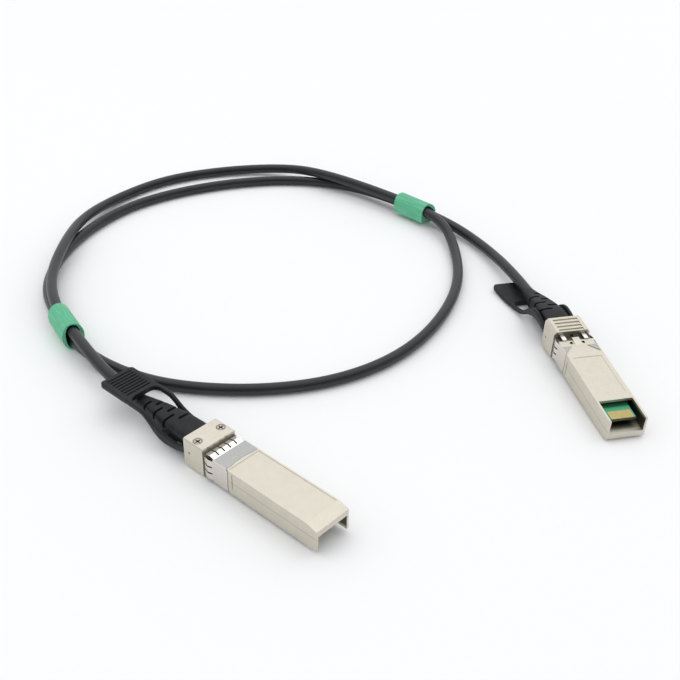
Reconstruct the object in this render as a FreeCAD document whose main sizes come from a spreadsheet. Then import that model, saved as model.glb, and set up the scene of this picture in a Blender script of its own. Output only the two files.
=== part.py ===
"""Direct attach copper cable: two latching plugs joined by one twinax cable with two ties.

Each plug is built in its own frame: X runs back from the open end, Y across, and Z from the
latch face (0) up to the label face. The document's frame has +X along the first plug's
insertion, +Z up, and its origin under the middle of the two plugs, on the resting surface.
"""
import FreeCAD, Part
import math
import os
import re
import Sketcher
from FreeCAD import Placement, Rotation, Vector

SIZES = [
    ("plug_length", 56.5, "open end to the rear face of the nose block"),
    ("nose_length", 8.8, "nose block"),
    ("body_width", 13.4, "width of the plug body"),
    ("body_height", 8.5, "latch face to label face"),
    ("block_width", 13.6, "width of the nose block"),
    ("block_rise", 1.4, "nose block above the label face"),
    ("cover_drop", 1.25, "nose block below the latch face"),
    ("side_wall", 0.7, "side walls of the shells"),
    ("floor_wall", 1.1, "latch-side wall"),
    ("roof_wall", 1.2, "label-side wall"),
    ("rear_wall", 0.8, "rear wall of the nose block"),
    ("cover_wall", 1.0, "latch-side wall of the nose block"),
    ("seam_height", 4.5, "parting plane of the two shells"),
    ("mouth_length", 10.4, "length of the card-edge cut-away"),
    ("mouth_height", 5.3, "latch face to the underside of the front lip"),
    ("front_wall", 1.0, "front wall of the nose block"),
    ("block_round", 0.5, "label-side edges of the nose block"),
    ("lip_length", 3.9, "lead-in ramp at the open end"),
    ("lip_drop", 1.05, "fall of the lead-in ramp"),
    ("label_depth", 0.12, "depth of the label recess"),
    ("label_margin", 0.6, "rim beside the label recess"),
    ("label_gap", 0.3, "rims ahead of and behind the label recess"),
    ("panel_start", 14.0, "open end to the latch-side panel recess"),
    ("panel_length", 20.0, "latch-side panel recess"),
    ("panel_depth", 0.1, "latch-side panel recess"),
    ("panel_margin", 1.5, "rim beside the latch-side panel recess"),
    ("mark_at", 34.6, "open end to the upright groove on each side"),
    ("mark_width", 0.25, "upright side grooves"),
    ("mark_depth", 0.12, "upright side grooves"),
    ("mark_low", 2.4, "latch face to the lower end of the side grooves"),
    ("mark_high", 7.7, "latch face to the upper end of the side grooves"),
    ("fit_gap", 0.1, "clearance round pieces that slide or drop in"),
    ("overcut", 1.0, "how far a cut runs past the face that it leaves"),
    ("board_width", 9.2, "circuit board"),
    ("board_thickness", 1.0, "circuit board"),
    ("board_height", 2.25, "latch face to the board's underside"),
    ("board_recess", 3.2, "open end to the board's front edge"),
    ("board_length", 30.0, "circuit board"),
    ("board_bevel", 0.25, "front edge of the circuit board"),
    ("ledge_start", 12.0, "board ledges, from the open end"),
    ("ledge_length", 19.0, "board ledges"),
    ("clamp_length", 2.0, "blocks that hold the board down"),
    ("ledge_grip", 0.7, "board edge that lies on the ledges"),
    ("contact_count", 10, "gold pads on each side of the board"),
    ("contact_pitch", 0.8, "gold pads"),
    ("contact_width", 0.55, "gold pads"),
    ("contact_length", 3.8, "gold pads"),
    ("contact_thickness", 0.05, "gold pads"),
    ("contact_inset", 0.3, "board's front edge to the gold pads"),
    ("chip_size", 3.0, "memory chip, square"),
    ("chip_thickness", 0.9, "memory chip"),
    ("chip_at", 18.0, "open end to the middle of the memory chip"),
    ("collar_length", 10.1, "sprung collar"),
    ("collar_gap", 0.8, "sprung collar to the nose block"),
    ("collar_bow", 1.0, "bow of the collar's front edge on the label side"),
    ("collar_sheet", 0.2, "sheet of the sprung collar"),
    ("finger_length", 3.7, "sprung fingers of the collar"),
    ("finger_bulge", 0.55, "rise of the sprung fingers"),
    ("finger_slit", 0.55, "gap between sprung fingers"),
    ("finger_root", 0.4, "start of the bend to the slits"),
    ("finger_margin", 0.5, "body corners to the sprung fingers"),
    ("flap_start", 2.9, "half gap between the collar's latch-side flaps"),
    ("flap_slope", 4.0, "slanting edges of those flaps, along the plug"),
    ("latch_recess", 3.6, "length of the recess ahead of the nose block"),
    ("latch_depth", 0.9, "depth of that recess"),
    ("recess_floor", 1.0, "wall above the latch recess"),
    ("shoulder_inset", 2.7, "latch shoulder ahead of the nose block"),
    ("latch_length", 3.6, "latch boss"),
    ("latch_flat", 1.44, "flat end of the latch boss"),
    ("latch_width", 2.6, "latch boss"),
    ("latch_rise", 0.45, "latch boss below the latch face"),
    ("pit_width", 1.0, "tool pits beside the latch boss"),
    ("pit_length", 1.3, "tool pits"),
    ("pit_depth", 0.5, "tool pits"),
    ("pit_gap", 0.8, "tool pits, ahead of the recess"),
    ("pit_offset", 2.3, "tool pits, from the middle"),
    ("rib_height", 0.35, "grip ribs on the nose block"),
    ("rib_width", 0.7, "grip ribs"),
    ("rib_pitch", 2.0, "grip ribs"),
    ("rib_span", 9.4, "grip ribs, across the block"),
    ("rib_margin", 0.5, "rear edge of the nose block to the last rib"),
    ("rib_count", 4, "grip ribs on the nose block"),
    ("cover_bevel", 1.0, "lower side edges of the nose block"),
    ("gate_rim", 0.6, "rims beside the slider's gate"),
    ("screw_inset", 4.5, "rear of the nose block to the screws"),
    ("screw_offset", 4.75, "screws, from the middle"),
    ("screw_diameter", 1.6, "screw shank"),
    ("screw_head", 3.2, "screw head"),
    ("screw_length", 9.0, "screw with its head"),
    ("screw_sink", 0.12, "screw heads below the block's face"),
    ("cross_length", 2.0, "cross recess in the screw heads"),
    ("cross_width", 0.45, "cross recess"),
    ("cross_depth", 0.5, "cross recess"),
    ("boss_diameter", 2.4, "screw bosses"),
    ("boot_axis", 4.9, "latch face to the cable's axis in the plug"),
    ("neck_width", 7.8, "strain relief neck in the rear wall"),
    ("neck_height", 6.0, "strain relief neck"),
    ("flange_grip", 0.5, "strain relief flange beyond its neck"),
    ("flange_length", 1.6, "strain relief flange"),
    ("boot_length", 30.0, "strain relief behind the plug"),
    ("boot_width", 10.1, "strain relief at its root"),
    ("boot_height", 7.4, "strain relief at its root"),
    ("boot_shoulder_width", 9.5, "strain relief at one third"),
    ("boot_shoulder_height", 7.2, "strain relief at one third"),
    ("boot_waist_width", 7.2, "strain relief at two thirds"),
    ("boot_waist_height", 6.15, "strain relief at two thirds"),
    ("boot_tip", 4.9, "strain relief at its tip"),
    ("boot_corner", 1.6, "bevelled corners of the strain relief"),
    ("slot_width", 0.8, "flex slots"),
    ("slot_count", 3, "flex slots on one side"),
    ("slot_overlap", 0.5, "flex slots past the middle"),
    ("slot_pitch", 5.7, "flex slots on one side"),
    ("slot_start", 9.3, "first flex slot, from the plug"),
    ("slot_depth", 1.3, "flex slots"),
    ("cable_diameter", 4.2, "cable jacket"),
    ("cable_first_run", 23.0, "straight ends of the cable's route"),
    ("braid_diameter", 3.4, "shield braid"),
    ("jacket_grip", 8.0, "jacket inside the strain relief"),
    ("ferrule_diameter", 5.2, "crimp ferrule"),
    ("ferrule_length", 3.4, "crimp ferrule"),
    ("ferrule_inset", 7.1, "rear of the nose block to the crimp ferrule"),
    ("wire_diameter", 0.9, "insulated signal wires"),
    ("wire_pitch", 2.2, "signal wires on the board"),
    ("wire_bundle", 1.1, "signal wires in the ferrule"),
    ("wire_overlap", 2.4, "signal wires over the board's rear end"),
    ("wire_straight", 3.0, "straight ends of the signal wires' bend"),
    ("wire_tail", 1.0, "signal wires inside the ferrule"),
    ("arm_offset", 6.7, "outer faces of the pull tab's arms, from the middle"),
    ("arm_width", 1.3, "pull tab's arms"),
    ("arm_gap", 0.3, "plug's rear face to the pull tab"),
    ("arm_reach", 22.8, "plug's rear face to where the arms run level into the pad"),
    ("horn_cover", 0.53, "pull tab above and below the slider horns"),
    ("tab_length", 42.2, "pull tab behind the plug"),
    ("pad_length", 13.9, "finger pad"),
    ("pad_height", 7.7, "latch face to the pad's underside"),
    ("pad_thickness", 1.8, "finger pad"),
    ("pad_round", 1.2, "corners of the finger pad"),
    ("groove_margin", 1.5, "finger pad's end to its last groove"),
    ("groove_pitch", 1.45, "finger pad grooves"),
    ("groove_width", 0.6, "finger pad grooves"),
    ("groove_depth", 0.45, "finger pad grooves"),
    ("groove_count", 8, "finger pad grooves"),
    ("groove_span", 9.4, "finger pad grooves"),
    ("sheet_thickness", 0.4, "latch slider sheet"),
    ("sheet_drop", 0.15, "latch face down to the slider's underside"),
    ("slider_travel", 1.5, "pull that frees the latch"),
    ("slider_bar", 1.2, "latch slider's cross bars"),
    ("slider_back", 0.8, "latch slider's rear bar"),
    ("slider_lap", 0.4, "latch slider's parts into each other"),
    ("slider_strip", 6.2, "latch slider between the bosses"),
    ("slider_reach", 3.9, "latch slider's release fingers"),
    ("finger_width", 1.5, "latch slider's release fingers"),
    ("finger_offset", 4.1, "release fingers, from the middle"),
    ("horn_height", 1.2, "slider horns in the pull tab"),
    ("horn_length", 4.0, "slider horns in the pull tab"),
    ("horn_level", 4.1, "latch face to the slider horns"),
    ("spring_diameter", 1.0, "return spring"),
    ("spring_wire", 0.2, "return spring"),
    ("spring_turns", 5, "return spring"),
    ("spring_length", 3.4, "return spring"),
    ("post_length", 0.6, "spring post"),
    ("plug_a_x", 28.5, "first plug's open end"),
    ("plug_a_y", -77.65, "first plug's open end"),
    ("plug_b_x", 66.4, "second plug's open end"),
    ("plug_b_y", 22.4, "second plug's open end"),
    ("plug_b_level", 8.285, "second plug's latch face at its open end"),
    ("plug_b_yaw", -35.5, "second plug's heading in degrees"),
    ("plug_b_pitch", 3.0, "second plug's rear raised, in degrees"),
    ("tie_length", 18.0, "cable ties"),
    ("tie_wall", 0.95, "cable ties above and below the cables"),
    ("tie_width", 9.0, "cable ties across"),
    ("tie_fit", 0.25, "cables to the cable ties"),
    ("tie_corner_share", 0.55, "corner bevels of a tie, as a share of its half width"),
    ("tie_round", 1.2, "rounding of those corners"),
    ("strand_spacing", 4.5, "the two cables in a tie, axis to axis"),
]

# The cable's route from plug to plug, in the document's frame: first the run out of the first
# strain relief, then over the returning strand into the left tie, round the loop twice and
# through both ties, and last the run into the second strain relief.
ROUTE_MIDDLE = [
    (-102.5, -69.0, 7.9), (-129.5, -63.0, 7.9), (-147.5, -52.0, 7.6), (-165.5, -33.5, 7.4),
    (-183.5, -11.5, 5.2), (-193.5, 14.0, 2.3), (-193.5, 43.0, 2.2), (-182.5, 69.5, 2.2),
    (-163.0, 90.0, 2.5), (-138.5, 94.5, 7.0), (-104.5, 97.3, 6.9), (-71.5, 96.6, 6.5),
    (-52.0, 86.5, 2.5), (-33.0, 64.0, 2.2), (-21.0, 36.5, 2.2), (-15.5, 7.0, 2.2),
    (-21.0, -20.5, 2.2), (-37.0, -43.5, 2.2), (-60.0, -61.5, 2.2), (-81.5, -68.0, 2.2),
    (-103.5, -68.7, 3.4), (-129.0, -63.2, 3.4), (-149.5, -54.3, 2.3), (-166.5, -35.0, 2.2),
    (-177.5, -12.0, 2.2), (-182.0, 14.0, 2.2), (-177.0, 40.5, 2.2), (-164.5, 66.5, 2.2),
    (-147.0, 87.0, 2.2), (-124.5, 99.4, 2.3), (-103.5, 100.9, 3.7), (-71.0, 100.2, 3.7),
    (-43.5, 94.7, 2.4),
]
ARC_SHARE = 0.45

# A pull tab's arms from the side: distance behind the plug, underside and upper side.
ARM_SECTIONS = [
    (2.5, 2.8, 5.25), (5.0, 2.2, 4.95), (7.5, 1.9, 4.95), (10.0, 1.8, 5.1), (12.0, 2.1, 5.45),
    (13.5, 2.6, 5.85), (15.0, 3.45, 6.4), (16.5, 4.6, 7.15), (18.0, 5.75, 8.0),
    (19.5, 6.8, 8.8), (21.0, 7.45, 9.35),
]

# Places that follow from the sizes.
PLACES = {
    "stop_at": "(plug_length - nose_length)",
    "shoulder_at": "(plug_length - nose_length - shoulder_inset)",
    "collar_end": "(plug_length - nose_length - collar_gap)",
    "collar_start": "(plug_length - nose_length - collar_gap - collar_length)",
    "screw_at": "(plug_length - screw_inset)",
    "ferrule_at": "(plug_length - ferrule_inset)",
    "block_top": "(body_height + block_rise)",
    "half_body": "(body_width / 2)",
    "inside": "(body_width / 2 - side_wall)",
    "cavity": "(block_width / 2 - side_wall)",
    "pad_top": "(pad_height + pad_thickness)",
    "spring_start": "(plug_length - nose_length + slider_bar)",
    "spring_end": "(plug_length - nose_length + slider_bar + spring_length)",
}

doc = FreeCAD.newDocument("direct_attach_cable")
sheet = doc.addObject("Spreadsheet::Sheet", "Sizes")
for row, (alias, amount, meaning) in enumerate(SIZES, 1):
    sheet.set(f"A{row}", meaning)
    sheet.set(f"B{row}", str(amount))
    sheet.setAlias(f"B{row}", alias)
doc.recompute()
ALIASES = {alias for alias, _, _ in SIZES}
SCREW_CENTRES = [("screw_at", "screw_offset"), ("screw_at", "-screw_offset")]
nodes = []


def size(alias):
    """The number in the sheet under this alias."""
    return float(sheet.get(alias))


def bound(text):
    """An expression with places written out and the sheet's name put before each alias."""
    text = re.sub(r"[a-z_]+", lambda m: PLACES.get(m[0], m[0]), text)
    return re.sub(r"[a-z_]+", lambda m: f"Sizes.{m[0]}" if m[0] in ALIASES else m[0], text)


def keep(piece, label, placement):
    """Names a finished piece, puts it in its place and lists it for export."""
    piece.Label = label
    piece.Placement = placement
    nodes.append(piece)


# Sketches and features


def new_body(name):
    return doc.addObject("PartDesign::Body", name)


def new_sketch(body, name, plane, at):
    """A sketch on one of the body's own planes, moved along its normal by an expression."""
    sketch = body.newObject("Sketcher::SketchObject", f"{body.Name}_{name}")
    origin_plane = [f for f in body.Origin.OriginFeatures if f.Role == plane][0]
    sketch.AttachmentSupport = [(origin_plane, "")]
    sketch.MapMode = "FlatFace"
    sketch.setExpression("AttachmentOffset.Base.z", bound(at))
    return sketch


def pin_point(sketch, geometry, end, corner):
    """Fixes a point of the sketch at a pair of expressions."""
    for kind, text in zip(("DistanceX", "DistanceY"), corner):
        index = sketch.addConstraint(Sketcher.Constraint(kind, -1, 1, geometry, end, 1.0))
        sketch.setExpression(f"Constraints[{index}]", bound(text))


def outline(body, name, plane, loops, at="0"):
    """A sketch of closed straight-edged loops, each corner a pair of expressions."""
    sketch = new_sketch(body, name, plane, at)
    for corners in loops:
        count = len(corners)
        first = sketch.GeometryCount
        angles = [2 * math.pi * k / count for k in range(count + 1)]
        ring = [Vector(math.cos(a), math.sin(a), 0) for a in angles]
        for k in range(count):
            sketch.addGeometry(Part.LineSegment(ring[k], ring[k + 1]))
        for k in range(count):
            after = first + (k + 1) % count
            sketch.addConstraint(Sketcher.Constraint("Coincident", first + k, 2, after, 1))
            pin_point(sketch, first + k, 1, corners[k])
    return sketch


def rectangle(low_x, high_x, low_y, high_y):
    return [(low_x, low_y), (high_x, low_y), (high_x, high_y), (low_x, high_y)]


def across(low_x, high_x, half_width):
    """A rectangle that is symmetric across the plug."""
    return rectangle(low_x, high_x, f"-({half_width})", half_width)


def both_sides(low_x, high_x, low_y, high_y):
    """The same rectangle on each side of the plug's middle."""
    return [rectangle(low_x, high_x, low_y, high_y),
            rectangle(low_x, high_x, f"-({high_y})", f"-({low_y})")]


def both_arms(low_y, high_y, low_z, high_z):
    """The same rectangle on each side of the plug's middle, seen from its end."""
    return [rectangle(low_y, high_y, low_z, high_z),
            rectangle(f"-({high_y})", f"-({low_y})", low_z, high_z)]


def circles(body, name, plane, centres, diameter, at="0"):
    """A sketch of equal circles."""
    sketch = new_sketch(body, name, plane, at)
    for centre in centres:
        index = sketch.addGeometry(Part.Circle(Vector(0, 0, 0), Vector(0, 0, 1), 1.0))
        pin_point(sketch, index, 3, centre)
        rule = sketch.addConstraint(Sketcher.Constraint("Diameter", index, 2.0))
        sketch.setExpression(f"Constraints[{rule}]", bound(diameter))
    return sketch


def pad(body, sketch, length, reverse=False):
    feature = body.newObject("PartDesign::Pad", f"{sketch.Name}_pad")
    feature.Profile = sketch
    feature.Reversed = reverse
    feature.setExpression("Length", bound(length))
    return feature


def pocket(body, sketch, length, reverse=False):
    """Cuts against the sketch's normal, or along it if reversed."""
    feature = body.newObject("PartDesign::Pocket", f"{sketch.Name}_pocket")
    feature.Profile = sketch
    feature.Reversed = reverse
    feature.setExpression("Length", bound(length))
    return feature


def repeat(body, feature, axis, length, count):
    """Repeats a feature in a row, both amounts as expressions."""
    row = body.newObject("PartDesign::LinearPattern", f"{feature.Name}_row")
    row.Originals = [feature]
    row.Direction = ([f for f in body.Origin.OriginFeatures if f.Role == axis][0], [""])
    row.setExpression("Length", bound(length))
    row.setExpression("Occurrences", bound(count))
    body.Tip = row
    return row


def dress(body, kind, amount, pick):
    """Rounds or chamfers the tip's edges that the pick function accepts."""
    doc.recompute()
    base = body.Tip
    edges = [f"Edge{k}" for k, e in enumerate(base.Shape.Edges, 1) if pick(e)]
    feature = body.newObject(f"PartDesign::{kind}", f"{base.Name}_{kind.lower()}")
    feature.Base = (base, edges)
    feature.setExpression("Radius" if kind == "Fillet" else "Size", bound(amount))
    return feature


def runs_along(edge, axis):
    """Whether a straight edge is parallel to an axis given as 0, 1 or 2."""
    ends = [v.Point for v in edge.Vertexes]
    if len(ends) != 2 or edge.Curve.TypeId != "Part::GeomLine":
        return False
    step = ends[1] - ends[0]
    return abs(step[axis]) > 0.999 * step.Length


def path_wire(points, radii=None):
    """Straight runs joined by tangent arcs through a list of points."""
    points = [Vector(*p) for p in points]
    edges, start = [], points[0]
    for before, corner, after in zip(points, points[1:], points[2:]):
        into = (corner - before).normalize()
        out = (after - corner).normalize()
        half_turn = into.getAngle(out) / 2
        reach = ARC_SHARE * min((corner - before).Length, (after - corner).Length)
        radius = reach / math.tan(half_turn)
        inward = (out - into).normalize()
        centre = corner + inward * (radius / math.cos(half_turn))
        arc_start, arc_end = corner - into * reach, corner + out * reach
        middle = centre + (corner - centre).normalize() * radius
        edges.append(Part.LineSegment(start, arc_start).toShape())
        edges.append(Part.Arc(arc_start, middle, arc_end).toShape())
        start = arc_end
        if radii is not None:
            radii.append(radius)
    edges.append(Part.LineSegment(start, points[-1]).toShape())
    return Part.Wire(edges)


def tube(points, diameter, radii=None):
    """A round solid along a path."""
    wire = path_wire(points, radii)
    heading = Vector(*points[1]) - Vector(*points[0])
    ring = Part.Wire([Part.Circle(Vector(*points[0]), heading, diameter / 2).toShape()])
    return wire.makePipeShell([ring], True, False), wire.Length


# The pieces of one plug, in the plug's own frame


def make_bottom_shell(tag):
    """The die-cast latch-side half: side walls, latch boss, ribbed cover and board ledges."""
    body = new_body(f"bottom_shell_{tag}")
    wall = outline(body, "wall", "XY_Plane", [across("0", "stop_at", "half_body")])
    pad(body, wall, "seam_height")
    block = outline(body, "block", "XY_Plane",
                    [across("stop_at", "plug_length", "block_width / 2")], "-cover_drop")
    pad(body, block, "seam_height + cover_drop")
    dress(body, "Chamfer", "cover_bevel",
          lambda e: runs_along(e, 0) and e.BoundBox.ZMax < -0.9 * size("cover_drop"))
    cut_valleys(body)
    mouth = outline(body, "mouth", "XY_Plane", [across("-overcut", "mouth_length", "inside")],
                    "-overcut")
    pocket(body, mouth, "seam_height + 2 * overcut", reverse=True)
    hollow_end = "stop_at - latch_recess - floor_wall"
    hollow = outline(body, "hollow", "XY_Plane",
                     [across("mouth_length - fit_gap", hollow_end, "inside")], "floor_wall")
    pocket(body, hollow, "seam_height", reverse=True)
    front_roof = "latch_depth + recess_floor"
    throat = outline(body, "throat", "XY_Plane",
                     [across(f"{hollow_end} - fit_gap", "stop_at + front_wall", "inside")],
                     front_roof)
    pocket(body, throat, "seam_height", reverse=True)
    ledge = outline(body, "ledge", "XY_Plane",
                    both_sides("ledge_start", "ledge_start + ledge_length",
                               "board_width / 2 - ledge_grip", "half_body"), "floor_wall / 2")
    pad(body, ledge, "board_height - floor_wall / 2")
    cut_collar_seat(body, "-overcut", "seam_height + 2 * overcut")
    under = outline(body, "under", "XY_Plane",
                    [across("collar_start - fit_gap", "stop_at", "body_width")], "collar_sheet")
    pocket(body, under, "body_height")
    recess = outline(body, "recess", "XY_Plane",
                     [across("stop_at - latch_recess", "stop_at", "body_width")], "latch_depth")
    pocket(body, recess, "latch_depth + overcut")
    root = "latch_depth + recess_floor / 2"
    boss = outline(body, "boss", "XZ_Plane",
                   [[("shoulder_at", root), ("shoulder_at", "-latch_rise"),
                     ("shoulder_at - latch_flat", "-latch_rise"),
                     ("shoulder_at - latch_length", "collar_sheet"),
                     ("shoulder_at - latch_length", root)]], "-latch_width / 2")
    pad(body, boss, "latch_width")
    pit_end = "stop_at - latch_recess - pit_gap"
    pits = outline(body, "pits", "XY_Plane",
                   both_sides(f"{pit_end} - pit_length", pit_end,
                              "pit_offset - pit_width / 2", "pit_offset + pit_width / 2"),
                   "pit_depth + collar_sheet")
    pocket(body, pits, "pit_depth + overcut")
    chamber = outline(body, "chamber", "XY_Plane",
                      [across("stop_at + front_wall", "plug_length - rear_wall", "cavity")],
                      "cover_wall - cover_drop")
    pocket(body, chamber, "body_height", reverse=True)
    gate = outline(body, "gate", "XY_Plane",
                   [across("stop_at - fit_gap", "stop_at + front_wall + fit_gap",
                           "cavity - gate_rim")], "cover_wall - cover_drop")
    pocket(body, gate, "sheet_thickness + 2 * fit_gap", reverse=True)
    core = outline(body, "core", "XY_Plane",
                   [across("stop_at - fit_gap", "stop_at + front_wall + fit_gap",
                           "neck_width / 2")], front_roof)
    pocket(body, core, "seam_height", reverse=True)
    bosses = circles(body, "bosses", "XY_Plane", SCREW_CENTRES, "boss_diameter",
                     "cover_wall / 2 - cover_drop")
    pad(body, bosses, "seam_height + cover_drop - cover_wall / 2")
    threads = circles(body, "threads", "XY_Plane", SCREW_CENTRES, "screw_diameter",
                      "block_top - screw_sink - screw_length - fit_gap")
    pocket(body, threads, "body_height", reverse=True)
    post = outline(body, "post", "XY_Plane",
                   [across("spring_end", "spring_end + post_length", "spring_diameter / 2")],
                   "cover_wall / 2 - cover_drop")
    pad(body, post, "cover_drop - cover_wall / 2 + sheet_thickness + fit_gap")
    groove = outline(body, "groove", "XY_Plane",
                     [across("spring_start - slider_bar", "spring_end",
                             "spring_diameter / 2 + fit_gap")],
                     "(sheet_thickness - spring_diameter - fit_gap) / 2 - sheet_drop")
    pocket(body, groove, "body_height", reverse=True)
    panel = outline(body, "panel", "XY_Plane",
                    [across("panel_start", "panel_start + panel_length",
                            "half_body - panel_margin")], "panel_depth")
    pocket(body, panel, "overcut")
    cut_side_marks(body, "mark_low", "seam_height + overcut")
    cut_rear_openings(body)
    return body


def cut_valleys(body):
    """The valleys that leave the grip ribs under the nose block."""
    first = "plug_length - rib_margin - rib_count * rib_pitch"
    valleys = outline(body, "valleys", "XY_Plane",
                      [across(first, f"{first} + rib_pitch - rib_width", "rib_span / 2")],
                      "rib_height - cover_drop")
    valley = pocket(body, valleys, "rib_height + overcut")
    repeat(body, valley, "X_Axis", "(rib_count - 1) * rib_pitch", "rib_count")


def cut_collar_seat(body, low, height):
    """The seat of the sprung collar in the side walls."""
    seat = outline(body, "seat", "XY_Plane",
                   both_sides("collar_start - fit_gap", "stop_at",
                              "half_body - collar_sheet", "body_width"), low)
    pocket(body, seat, height, reverse=True)


def cut_side_marks(body, low, high):
    """The shallow upright groove in each side wall, from one height to another."""
    marks = outline(body, "marks", "XY_Plane",
                    both_sides("mark_at", "mark_at + mark_width",
                               "half_body - mark_depth", "body_width"), low)
    pocket(body, marks, f"{high} - ({low})", reverse=True)


def cut_rear_openings(body):
    """The strain relief's opening and the two horn slots in the rear wall."""
    neck = rectangle("-neck_width / 2", "neck_width / 2", "boot_axis - neck_height / 2",
                     "boot_axis + neck_height / 2")
    slots = both_arms("arm_offset - arm_width",
                      "arm_offset - arm_width + sheet_thickness + 2 * fit_gap",
                      "horn_level - fit_gap", "horn_level + horn_height + fit_gap")
    rear = outline(body, "rear", "YZ_Plane", [neck] + slots, "plug_length - rear_wall - fit_gap")
    pocket(body, rear, "rear_wall + overcut", reverse=True)


def bowed(start):
    """An edge across the plug that bows back in the middle."""
    inner = [(f"{start} + collar_bow * (1 - ({k} / 3) ^ 2)", f"half_body * {k} / 3")
             for k in range(-2, 3)]
    return [(start, "-body_width")] + inner + [(start, "body_width")]


def make_top_shell(tag):
    """The die-cast label-side half: front lip, label recess and countersunk screw holes."""
    body = new_body(f"top_shell_{tag}")
    wall = outline(body, "wall", "XY_Plane", [across("0", "stop_at", "half_body")], "seam_height")
    pad(body, wall, "body_height - seam_height")
    block = outline(body, "block", "XY_Plane",
                    [across("stop_at", "plug_length", "block_width / 2")], "seam_height")
    pad(body, block, "block_top - seam_height")
    dress(body, "Fillet", "block_round",
          lambda e: runs_along(e, 0) and e.BoundBox.ZMin > size("body_height") + size("fit_gap"))
    ramp = outline(body, "ramp", "XZ_Plane",
                   [[("-overcut", "body_height + overcut"), ("-overcut", "body_height - lip_drop"),
                     ("0", "body_height - lip_drop"), ("lip_length", "body_height"),
                     ("lip_length", "body_height + overcut")]], "-body_width")
    pocket(body, ramp, "2 * body_width", reverse=True)
    label = outline(body, "label", "XY_Plane",
                    [across("lip_length + label_gap", "collar_start - label_gap",
                            "half_body - label_margin")], "body_height - label_depth")
    pocket(body, label, "overcut", reverse=True)
    mouth = outline(body, "mouth", "XY_Plane",
                    [across("-overcut", "mouth_length + fit_gap", "inside")], "mouth_height")
    pocket(body, mouth, "mouth_height")
    hollow = outline(body, "hollow", "XY_Plane",
                     [across("mouth_length", "stop_at + front_wall", "inside")],
                     "body_height - roof_wall")
    pocket(body, hollow, "body_height")
    board_top = "board_height + board_thickness"
    clamp = outline(body, "clamp", "XY_Plane",
                    both_sides("ledge_start", "ledge_start + clamp_length",
                               "board_width / 2 - ledge_grip", "half_body")
                    + both_sides("ledge_start + ledge_length - clamp_length",
                                 "ledge_start + ledge_length",
                                 "board_width / 2 - ledge_grip", "half_body"), board_top)
    pad(body, clamp, f"body_height - roof_wall / 2 - ({board_top})")
    relief = outline(body, "relief", "XY_Plane",
                     both_sides("ledge_start - overcut", "ledge_start + ledge_length + overcut",
                                "inside", "half_body"), "seam_height")
    pocket(body, relief, "seam_height")
    cut_collar_seat(body, "seam_height - overcut", "body_height")
    above = outline(body, "above", "XY_Plane",
                    [bowed("collar_start - fit_gap")
                     + [("stop_at", "body_width"), ("stop_at", "-body_width")]],
                    "body_height - collar_sheet")
    pocket(body, above, "overcut", reverse=True)
    chamber = outline(body, "chamber", "XY_Plane",
                      [across("stop_at + front_wall", "plug_length - rear_wall", "cavity")],
                      "block_top - roof_wall")
    pocket(body, chamber, "body_height")
    bosses = circles(body, "bosses", "XY_Plane", SCREW_CENTRES, "boss_diameter", "seam_height")
    pad(body, bosses, "block_top - roof_wall / 2 - seam_height")
    holes = circles(body, "holes", "XY_Plane", SCREW_CENTRES, "screw_diameter",
                    "seam_height - overcut")
    pocket(body, holes, "body_height", reverse=True)
    dress(body, "Chamfer", "(screw_head - screw_diameter) / 2",
          lambda e: len(e.Vertexes) == 1
          and e.BoundBox.ZMin > size("body_height") + size("block_rise") / 2)
    cut_side_marks(body, "seam_height - overcut", "mark_high")
    cut_rear_openings(body)
    return body


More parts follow.
